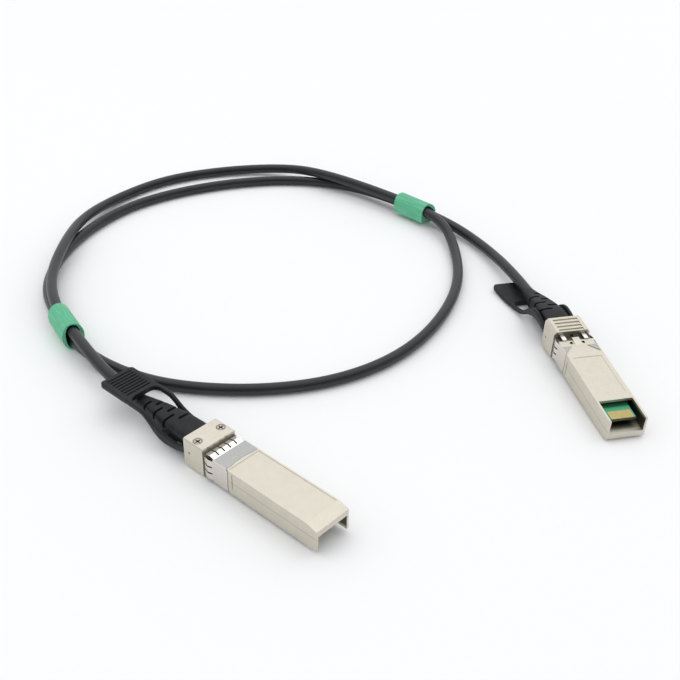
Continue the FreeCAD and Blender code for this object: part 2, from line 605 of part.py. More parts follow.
def make_collar(tag):
    """The sprung sheet collar that grounds the plug in its cage, with bulged fingers."""
    body = new_body(f"emi_collar_{tag}")
    sheet_inside = "half_body - collar_sheet"
    ring = outline(body, "ring", "YZ_Plane",
                   [rectangle("-half_body", "half_body", "0", "body_height"),
                    rectangle(f"-({sheet_inside})", sheet_inside, "collar_sheet",
                              "body_height - collar_sheet")], "collar_start")
    pad(body, ring, "collar_length - finger_length")
    low, high = "collar_end - finger_length - fit_gap", "collar_end"
    middle = f"({low} + {high}) / 2"
    roof_bend = bulge(low, middle, high, "body_height")
    side_bend = bulge(low, middle, high, "half_body")
    roof = outline(body, "roof", "XZ_Plane", [roof_bend], "-(half_body - finger_margin)")
    pad(body, roof, "body_width - 2 * finger_margin")
    sides = outline(body, "sides", "XY_Plane", [side_bend, mirrored(side_bend)],
                    "finger_margin + fit_gap")
    pad(body, sides, "body_height - 2 * (finger_margin + fit_gap)")
    slit_start, slit_end = f"{low} + finger_root", f"{high} + overcut"
    pitch = "(body_width - 2 * finger_margin) / 5"
    roof_slits = outline(body, "roof_slits", "XY_Plane",
                         [rectangle(slit_start, slit_end,
                                    f"{pitch} * ({k} - 2.5) - finger_slit / 2",
                                    f"{pitch} * ({k} - 2.5) + finger_slit / 2")
                          for k in range(1, 5)], "body_height - overcut")
    pocket(body, roof_slits, "3 * overcut", reverse=True)
    side_low = "finger_margin + fit_gap"
    side_pitch = "(body_height - 2 * (finger_margin + fit_gap)) / 3"
    side_slits = outline(body, "side_slits", "XZ_Plane",
                         [rectangle(slit_start, slit_end,
                                    f"{side_low} + {side_pitch} * {k} - finger_slit / 2",
                                    f"{side_low} + {side_pitch} * {k} + finger_slit / 2")
                          for k in (1, 2)], "-body_width")
    pocket(body, side_slits, "2 * body_width", reverse=True)
    flaps = outline(body, "flaps", "XY_Plane",
                    [[("collar_start - overcut", f"-({sheet_inside})"),
                      ("collar_start", f"-({sheet_inside})"),
                      ("collar_start + flap_slope", "-flap_start"),
                      ("collar_start + flap_slope", "flap_start"),
                      ("collar_start", sheet_inside), ("collar_start - overcut", sheet_inside)],
                     rectangle("collar_start + flap_slope - fit_gap", "collar_end + overcut",
                               f"-({sheet_inside})", sheet_inside)], "-overcut")
    pocket(body, flaps, "overcut + collar_sheet + fit_gap", reverse=True)
    bow = outline(body, "bow", "XY_Plane",
                  [[("collar_start - overcut", "-body_width")] + bowed("collar_start")
                   + [("collar_start - overcut", "body_width")]],
                  "body_height - 2 * collar_sheet")
    pocket(body, bow, "overcut", reverse=True)
    return body


def bulge(low, middle, high, face):
    """The bent section of a sprung finger that stands off a face."""
    crest = f"{face} + finger_bulge"
    return [(low, f"{face} - collar_sheet"), (middle, f"{crest} - collar_sheet"),
            (high, f"{face} - collar_sheet"), (high, face), (middle, crest), (low, face)]


def mirrored(loop):
    return [(x, f"-({y})") for x, y in reversed(loop)]


def make_screws(tag):
    """Two countersunk screws with cross recesses, from the label side."""
    shank_radius = "(screw_diameter - fit_gap) / 2"
    head_radius = "((screw_head - fit_gap) / 2 - screw_sink)"
    head_height = f"({head_radius} - {shank_radius})"
    top = "block_top - screw_sink"
    cone = bound_object("Part::Cone", f"screw_head_{tag}", Radius1=shank_radius,
                        Radius2=head_radius, Height=head_height)
    lift(cone, "screw_at", "screw_offset", f"{top} - {head_height}")
    shank = bound_object("Part::Cylinder", f"screw_shank_{tag}", Radius=shank_radius,
                         Height=f"screw_length - {head_height}")
    lift(shank, "screw_at", "screw_offset", f"{top} - screw_length")
    blades = []
    for name, wide, deep in (("slot", "cross_length", "cross_width"),
                             ("cross", "cross_width", "cross_length")):
        blade = bound_object("Part::Box", f"screw_{name}_{tag}", Length=wide, Width=deep,
                             Height="2 * cross_depth")
        lift(blade, f"screw_at - {wide} / 2", f"screw_offset - {deep} / 2",
             f"{top} - cross_depth")
        blades.append(blade)
    solid = doc.addObject("Part::MultiFuse", f"screw_solid_{tag}")
    solid.Shapes = [cone, shank]
    recess = doc.addObject("Part::MultiFuse", f"screw_recess_{tag}")
    recess.Shapes = blades
    screw = doc.addObject("Part::Cut", f"screw_{tag}")
    screw.Base, screw.Tool = solid, recess
    other = doc.addObject("Part::Mirroring", f"screw_mirrored_{tag}")
    other.Source = screw
    other.Normal = Vector(0, 1, 0)
    return group(f"housing_screws_{tag}", [screw, other])


def bound_object(kind, name, **sizes):
    """A Part primitive with its sizes bound to the sheet."""
    piece = doc.addObject(kind, name)
    for field, text in sizes.items():
        piece.setExpression(field, bound(text))
    return piece


def group(name, pieces):
    """Solids that make one node together, kept in the plug's frame."""
    node = doc.addObject("Part::Compound", name)
    node.Links = pieces
    return node


def lift(piece, x, y, z):
    """Binds a primitive's position to the sheet."""
    for field, text in zip("xyz", (x, y, z)):
        piece.setExpression(f"Placement.Base.{field}", bound(text))


def make_board(tag):
    """The circuit board whose front edge is the plug's contact tongue."""
    body = new_body(f"circuit_board_{tag}")
    panel = outline(body, "panel", "XY_Plane",
                    [across("board_recess", "board_recess + board_length", "board_width / 2")],
                    "board_height")
    pad(body, panel, "board_thickness")
    dress(body, "Chamfer", "board_bevel",
          lambda e: runs_along(e, 1) and e.BoundBox.XMax < size("board_recess") + size("fit_gap"))
    return body


def make_contacts(tag):
    """The row of gold pads on each side of the board's tongue."""
    pads = []
    start = "board_recess + contact_inset"
    faces = (("upper", "board_height + board_thickness"), ("lower", "board_height - contact_thickness"))
    for side, level in faces:
        for k in range(int(size("contact_count"))):
            middle = f"contact_pitch * ({k} - (contact_count - 1) / 2)"
            piece = bound_object("Part::Box", f"contact_{side}_{k}_{tag}", Length="contact_length",
                                 Width="contact_width", Height="contact_thickness")
            lift(piece, start, f"{middle} - contact_width / 2", level)
            pads.append(piece)
    return group(f"contact_pads_{tag}", pads)


def make_chip(tag):
    """The memory chip that tells the host what cable this is."""
    package = bound_object("Part::Box", f"chip_package_{tag}", Length="chip_size",
                           Width="chip_size", Height="chip_thickness")
    lift(package, "chip_at - chip_size / 2", "-chip_size / 2", "board_height + board_thickness")
    return group(f"memory_chip_{tag}", [package])


def make_wires(tag):
    """Two pairs of insulated wires from the board's rear end into the ferrule."""
    diameter, straight = size("wire_diameter"), size("wire_straight")
    rear = size("board_recess") + size("board_length")
    ferrule = size("plug_length") - size("ferrule_inset")
    above = size("board_height") + size("board_thickness") + diameter / 2
    below = size("board_height") - diameter / 2
    wires = []
    for level, turn in ((above, 1), (below, -1)):
        for side in (-1, 1):
            spread, gather = side * size("wire_pitch") / 2, side * size("wire_bundle") / 2
            height = size("boot_axis") + turn * size("wire_bundle") / 2
            points = [(rear - size("wire_overlap"), spread, level),
                      (rear + straight, spread, level), (ferrule - straight, gather, height),
                      (ferrule + size("wire_tail"), gather, height)]
            wires.append(tube(points, diameter)[0])
    bundle = doc.addObject("Part::Feature", f"signal_wires_{tag}")
    bundle.Shape = Part.makeCompound(wires)
    return bundle


def make_braid(tag):
    """The foil and braid over the wires, from the ferrule to the cable's jacket."""
    front = "ferrule_at + wire_tail"
    core = bound_object("Part::Cylinder", f"braid_core_{tag}", Radius="braid_diameter / 2",
                        Height=f"plug_length + boot_length - jacket_grip - ({front})")
    core.Placement = Placement(Vector(), Rotation(Vector(0, 1, 0), 90))
    lift(core, front, "0", "boot_axis")
    return group(f"shield_braid_{tag}", [core])


def make_ferrule(tag):
    """The crimped ring that grips the braid ahead of the strain relief."""
    body = new_body(f"crimp_ferrule_{tag}")
    ring = circles(body, "ring", "YZ_Plane", [("0", "boot_axis")], "ferrule_diameter", "ferrule_at")
    pad(body, ring, "ferrule_length")
    bore = circles(body, "bore", "YZ_Plane", [("0", "boot_axis")], "braid_diameter",
                   "ferrule_at - overcut")
    pocket(body, bore, "ferrule_length + 2 * overcut", reverse=True)
    return body


def boot_section(body, name, at, width, height):
    """A bevelled section of the strain relief."""
    w, t, c = f"({width}) / 2", f"({height}) / 2", "boot_corner"
    low, high = f"boot_axis - {t}", f"boot_axis + {t}"
    return outline(body, name, "YZ_Plane",
                   [[(f"{c} - {w}", low), (f"{w} - {c}", low), (w, f"{low} + {c}"),
                     (w, f"{high} - {c}"), (f"{w} - {c}", high), (f"{c} - {w}", high),
                     (f"-{w}", f"{high} - {c}"), (f"-{w}", f"{low} + {c}")]], at)


def make_boot(tag):
    """The moulded strain relief: flange and neck in the rear wall, tapered and slotted outside."""
    body = new_body(f"strain_relief_{tag}")
    rear = "plug_length"
    sections = [boot_section(body, "root", rear, "boot_width", "boot_height"),
                boot_section(body, "shoulder", f"{rear} + boot_length / 3",
                             "boot_shoulder_width", "boot_shoulder_height"),
                boot_section(body, "waist", f"{rear} + 2 * boot_length / 3",
                             "boot_waist_width", "boot_waist_height"),
                boot_section(body, "tip", f"{rear} + boot_length", "boot_tip", "boot_tip")]
    loft = body.newObject("PartDesign::AdditiveLoft", f"boot_{tag}")
    loft.Profile = sections[0]
    loft.Sections = sections[1:]
    loft.Ruled = True
    neck = outline(body, "neck", "YZ_Plane",
                   [rectangle("fit_gap - neck_width / 2", "neck_width / 2 - fit_gap",
                              "boot_axis - neck_height / 2 + fit_gap",
                              "boot_axis + neck_height / 2 - fit_gap")],
                   f"{rear} - rear_wall - flange_length / 2")
    pad(body, neck, "rear_wall + flange_length")
    flange_front = f"{rear} - rear_wall - flange_length"
    flange = outline(body, "flange", "YZ_Plane",
                     [rectangle("-(neck_width / 2 + flange_grip)", "neck_width / 2 + flange_grip",
                                "boot_axis - neck_height / 2 - flange_grip",
                                "boot_axis + neck_height / 2 + flange_grip")], flange_front)
    pad(body, flange, "flange_length")
    braid = circles(body, "braid_bore", "YZ_Plane", [("0", "boot_axis")], "braid_diameter",
                    f"{flange_front} - overcut")
    pocket(body, braid, "rear_wall + flange_length + boot_length + 2 * overcut", reverse=True)
    jacket = circles(body, "jacket_bore", "YZ_Plane", [("0", "boot_axis")], "cable_diameter",
                     f"{rear} + boot_length - jacket_grip")
    pocket(body, jacket, "jacket_grip + overcut", reverse=True)
    for name, face, way in (("upper", "boot_axis + boot_height / 2", True),
                            ("lower", "boot_axis - boot_height / 2", False)):
        level = f"{face} {'-' if way else '+'} slot_depth"
        for side, shift in (("right", "0"), ("left", "slot_pitch / 2")):
            start = f"{rear} + slot_start + {shift}"
            inner, outer = ("-slot_overlap", "boot_width")
            if side == "right":
                inner, outer = ("-boot_width", "slot_overlap")
            cut = outline(body, f"{name}_{side}_slot", "XY_Plane",
                          [rectangle(f"{start} + {k} * slot_pitch",
                                     f"{start} + {k} * slot_pitch + slot_width", inner, outer)
                           for k in range(int(size("slot_count")))], level)
            pocket(body, cut, "boot_height", reverse=way)
    return body


def make_pull_tab(tag):
    """The moulded pull tab: two curved arms and a grooved finger pad."""
    body = new_body(f"pull_tab_{tag}")
    front, rear = "plug_length + arm_gap", "plug_length + tab_length"
    under = [(f"plug_length + {at}", f"{low}") for at, low, _ in ARM_SECTIONS]
    upper = [(f"plug_length + {at}", f"{high}") for at, _, high in reversed(ARM_SECTIONS)]
    arm = ([(front, "horn_level - horn_cover")] + under
           + [("plug_length + arm_reach", "pad_height"),
              (f"{rear} - pad_length + overcut", "pad_height"),
              (f"{rear} - pad_length + overcut", "pad_top"),
              ("plug_length + arm_reach", "pad_top")]
           + upper + [(front, "horn_level + horn_height + horn_cover")])
    for name, start in (("right_arm", "arm_offset - arm_width"), ("left_arm", "-arm_offset")):
        side = outline(body, name, "XZ_Plane", [arm], start)
        pad(body, side, "arm_width")
    plate = outline(body, "plate", "XY_Plane",
                    [across(f"{rear} - pad_length", rear, "arm_offset")], "pad_height")
    pad(body, plate, "pad_thickness")
    dress(body, "Fillet", "pad_round",
          lambda e: runs_along(e, 2)
          and e.BoundBox.XMin > size("plug_length") + size("tab_length") - size("overcut"))
    first = f"{rear} - groove_margin - (groove_count - 1) * groove_pitch"
    groove = outline(body, "groove", "XY_Plane",
                     [across(f"{first} - groove_width", first, "groove_span / 2")],
                     "pad_top - groove_depth")
    cut = pocket(body, groove, "2 * groove_depth", reverse=True)
    repeat(body, cut, "X_Axis", "(groove_count - 1) * groove_pitch", "groove_count")
    inner = "arm_offset - arm_width + fit_gap"
    slit = outline(body, "slit", "YZ_Plane",
                   both_arms(inner, f"{inner} + sheet_thickness", "horn_level",
                             "horn_level + horn_height"), f"{front} - fit_gap")
    pocket(body, slit, "horn_length + fit_gap", reverse=True)
    return body


def make_slider(tag):
    """The stamped latch slider: release fingers, cross bars, spring window and two horns."""
    body = new_body(f"latch_slider_{tag}")
    under = "-sheet_drop"
    rear = "plug_length - rear_wall - slider_travel - slider_back"
    ear_inner = "arm_offset - arm_width + fit_gap"
    ear_outer = f"{ear_inner} + sheet_thickness"
    bar = outline(body, "bar", "XY_Plane",
                  [across("stop_at", "stop_at + slider_bar",
                          "finger_offset + finger_width / 2 + fit_gap")], under)
    pad(body, bar, "sheet_thickness")
    fingers = outline(body, "fingers", "XY_Plane",
                      both_sides("stop_at + slider_lap - slider_reach", "stop_at + slider_lap",
                                 "finger_offset - finger_width / 2",
                                 "finger_offset + finger_width / 2"), under)
    pad(body, fingers, "sheet_thickness")
    strips = outline(body, "strips", "XY_Plane",
                     both_sides("stop_at + slider_bar - slider_lap", f"{rear} + slider_lap",
                                "spring_diameter / 2 + 2 * fit_gap", "slider_strip / 2"), under)
    pad(body, strips, "sheet_thickness")
    back = outline(body, "back", "XY_Plane", [across(rear, f"{rear} + slider_back", ear_outer)],
                   under)
    pad(body, back, "sheet_thickness")
    horn_end = "plug_length + arm_gap + horn_length"
    ear = [(rear, under), (f"{rear} + slider_back", under),
           (f"{rear} + slider_back", "horn_level"), (horn_end, "horn_level"),
           (horn_end, "horn_level + horn_height"), (rear, "horn_level + horn_height")]
    for name, start in (("right_ear", ear_inner), ("left_ear", f"-({ear_outer})")):
        side = outline(body, name, "XZ_Plane", [ear], start)
        pad(body, side, "sheet_thickness")
    return body


def make_spring(tag):
    """The coil that pushes the slider forward again after a pull."""
    wire, turns, play = size("spring_wire"), size("spring_turns"), size("fit_gap")
    front = size("plug_length") - size("nose_length") + size("slider_bar") + (play + wire) / 2
    length = size("spring_length") - play - wire
    radius = (size("spring_diameter") - wire) / 2
    level = size("sheet_thickness") / 2 - size("sheet_drop")
    helix = Part.makeHelix(length / turns, length, radius)
    ring = Part.Wire([Part.Circle(Vector(radius, 0, 0), Vector(0, 1, 0), wire / 2).toShape()])
    coil = Part.Wire(helix).makePipeShell([ring], True, True)
    coil.Placement = Placement(Vector(front, 0, level), Rotation(Vector(0, 1, 0), 90))
    spring = doc.addObject("Part::Feature", f"return_spring_{tag}")
    spring.Shape = Part.makeCompound([coil])
    return spring


def build_plug(tag, placement):
    """All the pieces of one plug, put in its place."""
    pieces = [("bottom_shell", make_bottom_shell), ("top_shell", make_top_shell),
              ("emi_collar", make_collar), ("housing_screws", make_screws),
              ("circuit_board", make_board), ("contact_pads", make_contacts),
              ("memory_chip", make_chip), ("signal_wires", make_wires),
              ("shield_braid", make_braid), ("crimp_ferrule", make_ferrule),
              ("strain_relief", make_boot), ("pull_tab", make_pull_tab),
              ("latch_slider", make_slider), ("return_spring", make_spring)]
    for name, make in pieces:
        keep(make(tag), f"{name}_{tag}", placement)


def plug_b_placement():
    """Upside down, its rear raised a little by the cable."""
    flip = Placement(Vector(0, 0, 0), Rotation(Vector(1, 0, 0), 180))
    tilt = Rotation(Vector(0, 1, 0), -size("plug_b_pitch"))
    turn = Rotation(Vector(0, 0, 1), 180 + size("plug_b_yaw"))
    place = Vector(size("plug_b_x"), size("plug_b_y"), size("plug_b_level"))
    return Placement(place, turn.multiply(tilt)).multiply(flip)


def make_tie(name, low, high):
    """A soft strap wound into an oval sleeve round two cables.

    low and high are the starts and ends of the lower and the upper cable's run through it.
    """
    body = new_body(name)
    hole_height = "(strand_spacing + cable_diameter) / 2 + tie_fit"
    for part, half_width, half_height, overrun in (
            ("sleeve", "tie_width / 2", f"{hole_height} + tie_wall", "0"),
            ("hole", "cable_diameter / 2 + tie_fit", hole_height, "overcut")):
        w, t, c = f"({half_width})", f"({half_height})", f"({half_width}) * tie_corner_share"
        ring = outline(body, part, "YZ_Plane",
                       [[(f"{c} - {w}", f"-{t}"), (f"{w} - {c}", f"-{t}"), (w, f"{c} - {t}"),
                         (w, f"{t} - {c}"), (f"{w} - {c}", t), (f"{c} - {w}", t),
                         (f"-{w}", f"{t} - {c}"), (f"-{w}", f"{c} - {t}")]],
                       f"-tie_length / 2 - {overrun}")
        if part == "sleeve":
            pad(body, ring, "tie_length")
            dress(body, "Fillet", "tie_round", lambda e: runs_along(e, 0))
        else:
            pocket(body, ring, "tie_length + 2 * overcut", reverse=True)
    along = ((low[1] - low[0]) + (high[1] - high[0])).normalize()
    middle = (low[0] + low[1] + high[0] + high[1]) / 4
    upward = (high[0] + high[1] - low[0] - low[1]).normalize()
    sideways = upward.cross(along).normalize()
    keep(body, name, Placement(middle, Rotation(along, sideways, along.cross(sideways), "XZY")))


def along_axis(placement, distance):
    """A point on a plug's cable axis, at a distance back from its open end."""
    return placement.multVec(Vector(distance, 0, size("boot_axis")))


def make_cable(placement_a, placement_b):
    """The jacketed cable from one strain relief to the other."""
    start = size("plug_length") + size("boot_length") - size("jacket_grip")
    ends = (start, start + size("cable_first_run"))
    route = [along_axis(placement_a, d) for d in ends] + [Vector(*p) for p in ROUTE_MIDDLE]
    route += [along_axis(placement_b, d) for d in reversed(ends)]
    radii = []
    solid, length = tube(route, size("cable_diameter"), radii)
    section = math.pi * size("cable_diameter") ** 2 / 4
    print(f"cable: {length:.1f} mm, volume {solid.Volume / (section * length):.4f} of section x length")
    print("bend radii:", " ".join(f"{r:.0f}" for r in radii))
    cable = doc.addObject("Part::Feature", "cable")
    cable.Shape = solid
    keep(cable, "cable", Placement())
    return route


place_a = Placement(Vector(size("plug_a_x"), size("plug_a_y"), size("cover_drop")),
                    Rotation(Vector(0, 0, 1), 180))
place_b = plug_b_placement()
build_plug("a", place_a)
build_plug("b", place_b)
route = make_cable(place_a, place_b)
make_tie("cable_tie_left", low=(route[22], route[23]), high=(route[2], route[3]))
make_tie("cable_tie_right", low=(route[32], route[33]), high=(route[12], route[13]))

doc.recompute()
for item in doc.Objects:
    if "Invalid" in item.State or "Error" in item.State:
        raise RuntimeError(f"{item.Name} failed: {item.State}")
for piece in nodes:
    if piece.Shape.isNull() or not piece.Shape.isValid():
        raise RuntimeError(f"{piece.Label} has no valid shape")
os.makedirs("parts", exist_ok=True)
for piece in nodes:
    piece.Shape.exportStep(f"parts/{piece.Label}.step")
print(f"{len(nodes)} nodes written")
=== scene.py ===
"""Direct attach copper cable: two latching plugs, one looped twinax cable and two green ties."""
import math

import bpy
from mathutils import Matrix, Vector


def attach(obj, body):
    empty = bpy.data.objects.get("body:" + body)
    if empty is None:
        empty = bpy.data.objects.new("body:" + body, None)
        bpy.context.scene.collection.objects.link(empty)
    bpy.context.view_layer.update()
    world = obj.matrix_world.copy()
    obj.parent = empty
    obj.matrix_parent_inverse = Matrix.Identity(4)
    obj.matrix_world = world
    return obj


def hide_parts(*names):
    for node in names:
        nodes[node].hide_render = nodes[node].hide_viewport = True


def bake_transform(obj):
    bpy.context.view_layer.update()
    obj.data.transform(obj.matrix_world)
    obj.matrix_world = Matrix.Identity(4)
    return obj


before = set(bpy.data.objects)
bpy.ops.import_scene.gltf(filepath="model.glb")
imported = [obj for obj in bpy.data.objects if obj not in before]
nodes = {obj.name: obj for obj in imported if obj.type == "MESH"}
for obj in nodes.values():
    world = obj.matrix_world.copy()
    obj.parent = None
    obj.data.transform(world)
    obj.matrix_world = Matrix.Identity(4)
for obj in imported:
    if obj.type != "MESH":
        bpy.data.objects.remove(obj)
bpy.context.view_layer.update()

MM = 0.001
TAGS = ("a", "b")

# Each plug's own frame in millimetres: X back from the open end, Y across, Z from the latch face.
PLUGS = {
    "a": Matrix.Translation((28.5, -77.65, 1.25)) @ Matrix.Rotation(math.pi, 4, "Z"),
    "b": Matrix.Translation((66.4, 22.4, 8.285))
    @ Matrix.Rotation(math.radians(144.5), 4, "Z")
    @ Matrix.Rotation(math.radians(-3), 4, "Y")
    @ Matrix.Rotation(math.pi, 4, "X"),
}
REAR = 56.5  # open end to the plug's rear
AXIS = 4.9  # latch face to the cable's axis


# ---------------------------------------------------------------- camera

CAMERA_PLACE = Vector((0.1708, -0.23655, 0.2125))
CAMERA_AHEAD = Vector((-0.5522, 0.6219, -0.5552))
CAMERA_UP = Vector((-0.3841, 0.4013, 0.8315))

camera_data = bpy.data.cameras.new("camera")
camera_data.lens = 54.45
camera_data.sensor_width = 36
camera_data.clip_start, camera_data.clip_end = 0.01, 20
camera = bpy.data.objects.new("camera", camera_data)
bpy.context.scene.collection.objects.link(camera)
ahead = CAMERA_AHEAD.normalized()
right = ahead.cross(CAMERA_UP).normalized()
turned = Matrix((right, right.cross(ahead), -ahead)).transposed().to_4x4()
camera.matrix_world = Matrix.Translation(CAMERA_PLACE) @ turned
bpy.context.scene.camera = camera


# ---------------------------------------------------------------- materials

# Sockets of a Mix node that share their names, by number.
MIX_FACTOR = 0
MIX_VALUES = (2, 3)
MIX_COLORS = (6, 7)
MIX_COLOR_OUT = 2


class Finish:
    """A Principled material and short ways to give it procedural detail."""

    def __init__(self, name, color, roughness, metallic=0.0, **more):
        self.material = bpy.data.materials.new(name)
        self.material.use_nodes = True
        self.tree = self.material.node_tree
        self.shader = self.tree.nodes["Principled BSDF"]
        self.set("Base Color", (*color, 1))
        self.set("Roughness", roughness)
        self.set("Metallic", metallic)
        for socket, value in more.items():
            self.set(socket.replace("_", " "), value)
        self.normal = None

    def set(self, socket, value):
        self.shader.inputs[socket].default_value = value

    def node(self, kind, **inputs):
        """A node whose inputs are set or linked by name, or by number as _0, _1 and so on."""
        made = self.tree.nodes.new(kind)
        for name, value in inputs.items():
            socket = made.inputs[int(name[1:]) if name[1:].isdigit() else name.replace("_", " ")]
            if isinstance(value, bpy.types.NodeSocket):
                self.tree.links.new(value, socket)
            else:
                socket.default_value = value
        return made

    def coordinates(self, placement=None):
        """Points in millimetres, in the plug's own frame if its placement is given."""
        source = self.tree.nodes.new("ShaderNodeTexCoord").outputs["Object"]
        inverse = (placement or Matrix.Identity(4)).inverted()
        scaled = self.node("ShaderNodeVectorMath", _0=source, _1=(1 / MM,) * 3)
        scaled.operation = "MULTIPLY"
        mapping = self.node("ShaderNodeMapping", Vector=scaled.outputs[0])
        mapping.inputs["Location"].default_value = inverse.to_translation()
        mapping.inputs["Rotation"].default_value = inverse.to_euler()
        return mapping.outputs[0]

    def stretched(self, points, scale):
        made = self.node("ShaderNodeVectorMath", _0=points, _1=scale)
        made.operation = "MULTIPLY"
        return made.outputs[0]

    def noise(self, points, scale, detail=3.0, rough=0.5):
        made = self.node("ShaderNodeTexNoise", Vector=points, Scale=scale, Detail=detail,
                         Roughness=rough)
        return made.outputs["Fac"]

    def waves(self, points, scale, axis="X", distortion=0.0):
        made = self.node("ShaderNodeTexWave", Vector=points, Scale=scale, Distortion=distortion)
        made.bands_direction = axis
        return made.outputs["Fac"]

    def cells(self, points, scale):
        made = self.node("ShaderNodeTexVoronoi", Vector=points, Scale=scale)
        return made.outputs["Distance"]

    def range(self, value, low, high, to_low=0.0, to_high=1.0):
        made = self.node("ShaderNodeMapRange", _0=value, _1=low, _2=high, _3=to_low, _4=to_high)
        return made.outputs[0]

    def math(self, operation, first, second=0.5):
        made = self.node("ShaderNodeMath", _0=first, _1=second)
        made.operation = operation
        return made.outputs[0]

    def both(self, first, second):
        return self.math("MULTIPLY", first, second)

    def either(self, first, second):
        return self.math("MAXIMUM", first, second)

    def near(self, value, at, half_width):
        """1 within half_width of a value, falling to 0 just outside."""
        away = self.math("ABSOLUTE", self.math("SUBTRACT", value, at))
        return self.range(away, half_width + 0.04, half_width - 0.02)

    def axis(self, points, letter):
        return self.node("ShaderNodeSeparateXYZ", _0=points).outputs[letter]

    def mixed(self, factor, first, second):
        made = self.tree.nodes.new("ShaderNodeMix")
        made.data_type = "RGBA"
        self.tree.links.new(factor, made.inputs[MIX_FACTOR])
        for number, value in zip(MIX_COLORS, (first, second)):
            socket = made.inputs[number]
            if isinstance(value, bpy.types.NodeSocket):
                self.tree.links.new(value, socket)
            else:
                socket.default_value = (*value, 1)
        return made.outputs[MIX_COLOR_OUT]

    def color(self, value):
        self.tree.links.new(value, self.shader.inputs["Base Color"])

    def roughness(self, value):
        self.tree.links.new(value, self.shader.inputs["Roughness"])

    def bump(self, height, strength, distance=0.05):
        made = self.node("ShaderNodeBump", Height=height, Strength=strength,
                         Distance=distance * MM)
        if self.normal is not None:
            self.tree.links.new(self.normal, made.inputs["Normal"])
        self.normal = made.outputs[0]
        self.tree.links.new(self.normal, self.shader.inputs["Normal"])


def cast_metal(tag):
    """Nickel-plated die-cast zinc: warm satin, a fine cast grain, panel lines and painted shade in
    hollows.
    """
    made = Finish(f"nickel_plated_zinc_{tag}", (0.70, 0.665, 0.575), 0.46, 1.0)
    points = made.coordinates(PLUGS[tag])
    along, across, up = (made.axis(points, letter) for letter in "XYZ")
    aside = made.math("ABSOLUTE", across)
    grain = made.noise(points, 5.5, 4.0, 0.6)
    cloud = made.noise(points, 0.35, 3.0)
    warm = made.mixed(cloud, (0.66, 0.625, 0.535), (0.75, 0.715, 0.625))
    cast = made.mixed(made.range(grain, 0.36, 0.5), (0.58, 0.545, 0.455), warm)

    # A round dimple on each side of the nose block, darkened inside with painted shade.
    away = made.node("ShaderNodeVectorMath", _0=made.stretched(points, (1, 0, 1)),
                     _1=(54.0, 0.0, 5.2))
    away.operation = "DISTANCE"
    dimple = made.range(away.outputs["Value"], 0.42, 0.3)

    # Side faces only: joint lines where the shells meet and at the collar's front edge, and painted
    # shade in an upright groove.
    side_face, seam_end = 6.45, 36.5
    seam = made.both(made.near(up, 4.5, 0.07), made.math("LESS_THAN", along, seam_end))
    groove = made.both(made.near(along, 34.72, 0.12), made.near(up, 5.05, 2.65))
    collar_edge = made.near(along, 36.66, 0.16)
    lines = made.either(made.either(seam, groove), collar_edge)
    on_sides = made.math("GREATER_THAN", aside, side_face)
    lines = made.both(made.both(lines, on_sides), 0.6)

    # Painted shade on the shell under the collar's fingers and in the gap behind them.
    painted_shade_under_collar = made.both(made.near(along, 44.79, 2.87), made.math("GREATER_THAN", up, 0.3))

    # Painted shade in the card mouth: dark on its walls and darker the deeper it goes, but not on
    # its front rim.
    mouth_wall, mouth_rim = 5.75, 0.2
    mouth = made.both(made.near(across, 0.0, 6.25), made.near(up, 4.2, 3.2))
    walls = made.math("GREATER_THAN", aside, mouth_wall)
    shaded = made.either(made.both(walls, 0.85), made.range(along, 1.2, 4.5, 0.0, 0.9))
    painted_mouth_shade = made.both(made.both(mouth, shaded), made.math("GREATER_THAN", along, mouth_rim))

    # Joint lines and the painted shade of groove, dimples, card mouth and collar gap share one dark
    # colour.
    dark = made.either(made.either(made.either(lines, painted_mouth_shade), dimple), made.both(painted_shade_under_collar, 0.85))
    made.color(made.mixed(dark, cast, (0.08, 0.07, 0.05)))
    made.roughness(made.range(grain, 0.3, 0.7, 0.40, 0.54))
    made.bump(grain, 0.35, 0.03)
    made.bump(made.cells(points, 2.2), 0.12, 0.03)
    made.bump(made.math("SUBTRACT", 1.0, dimple), 0.5, 0.1)
    return made.material


def sprung_sheet(tag):
    """Thin plated spring sheet: rolled, with painted reflection warming its sides and a painted
    highlight on the fingers.
    """
    made = Finish(f"spring_sheet_{tag}", (0.68, 0.665, 0.63), 0.24, 1.0)
    points = made.coordinates(PLUGS[tag])
    rolled = made.noise(made.stretched(points, (0.5, 14, 14)), 1.0, 3.0)
    side_face, fingers_at, fingers_reach = 6.52, 45.7, 2.55
    # Painted reflection: the side faces are coloured warmer and paler than the top and bottom.
    side = made.math("GREATER_THAN", made.math("ABSOLUTE", made.axis(points, "Y")), side_face)
    bright = made.mixed(side, (0.50, 0.505, 0.495), (0.74, 0.705, 0.65))
    dull = made.mixed(side, (0.42, 0.425, 0.415), (0.64, 0.605, 0.55))
    # A near-white painted highlight on the fingers of the top and bottom faces.
    painted_finger_highlight = made.both(made.near(made.axis(points, "X"), fingers_at, fingers_reach),
                       made.math("SUBTRACT", 1.0, side))
    made.color(made.mixed(painted_finger_highlight, made.mixed(rolled, dull, bright), (0.93, 0.92, 0.90)))
    made.roughness(made.range(rolled, 0.3, 0.7, 0.18, 0.3))
    made.bump(rolled, 0.12, 0.02)
    return made.material


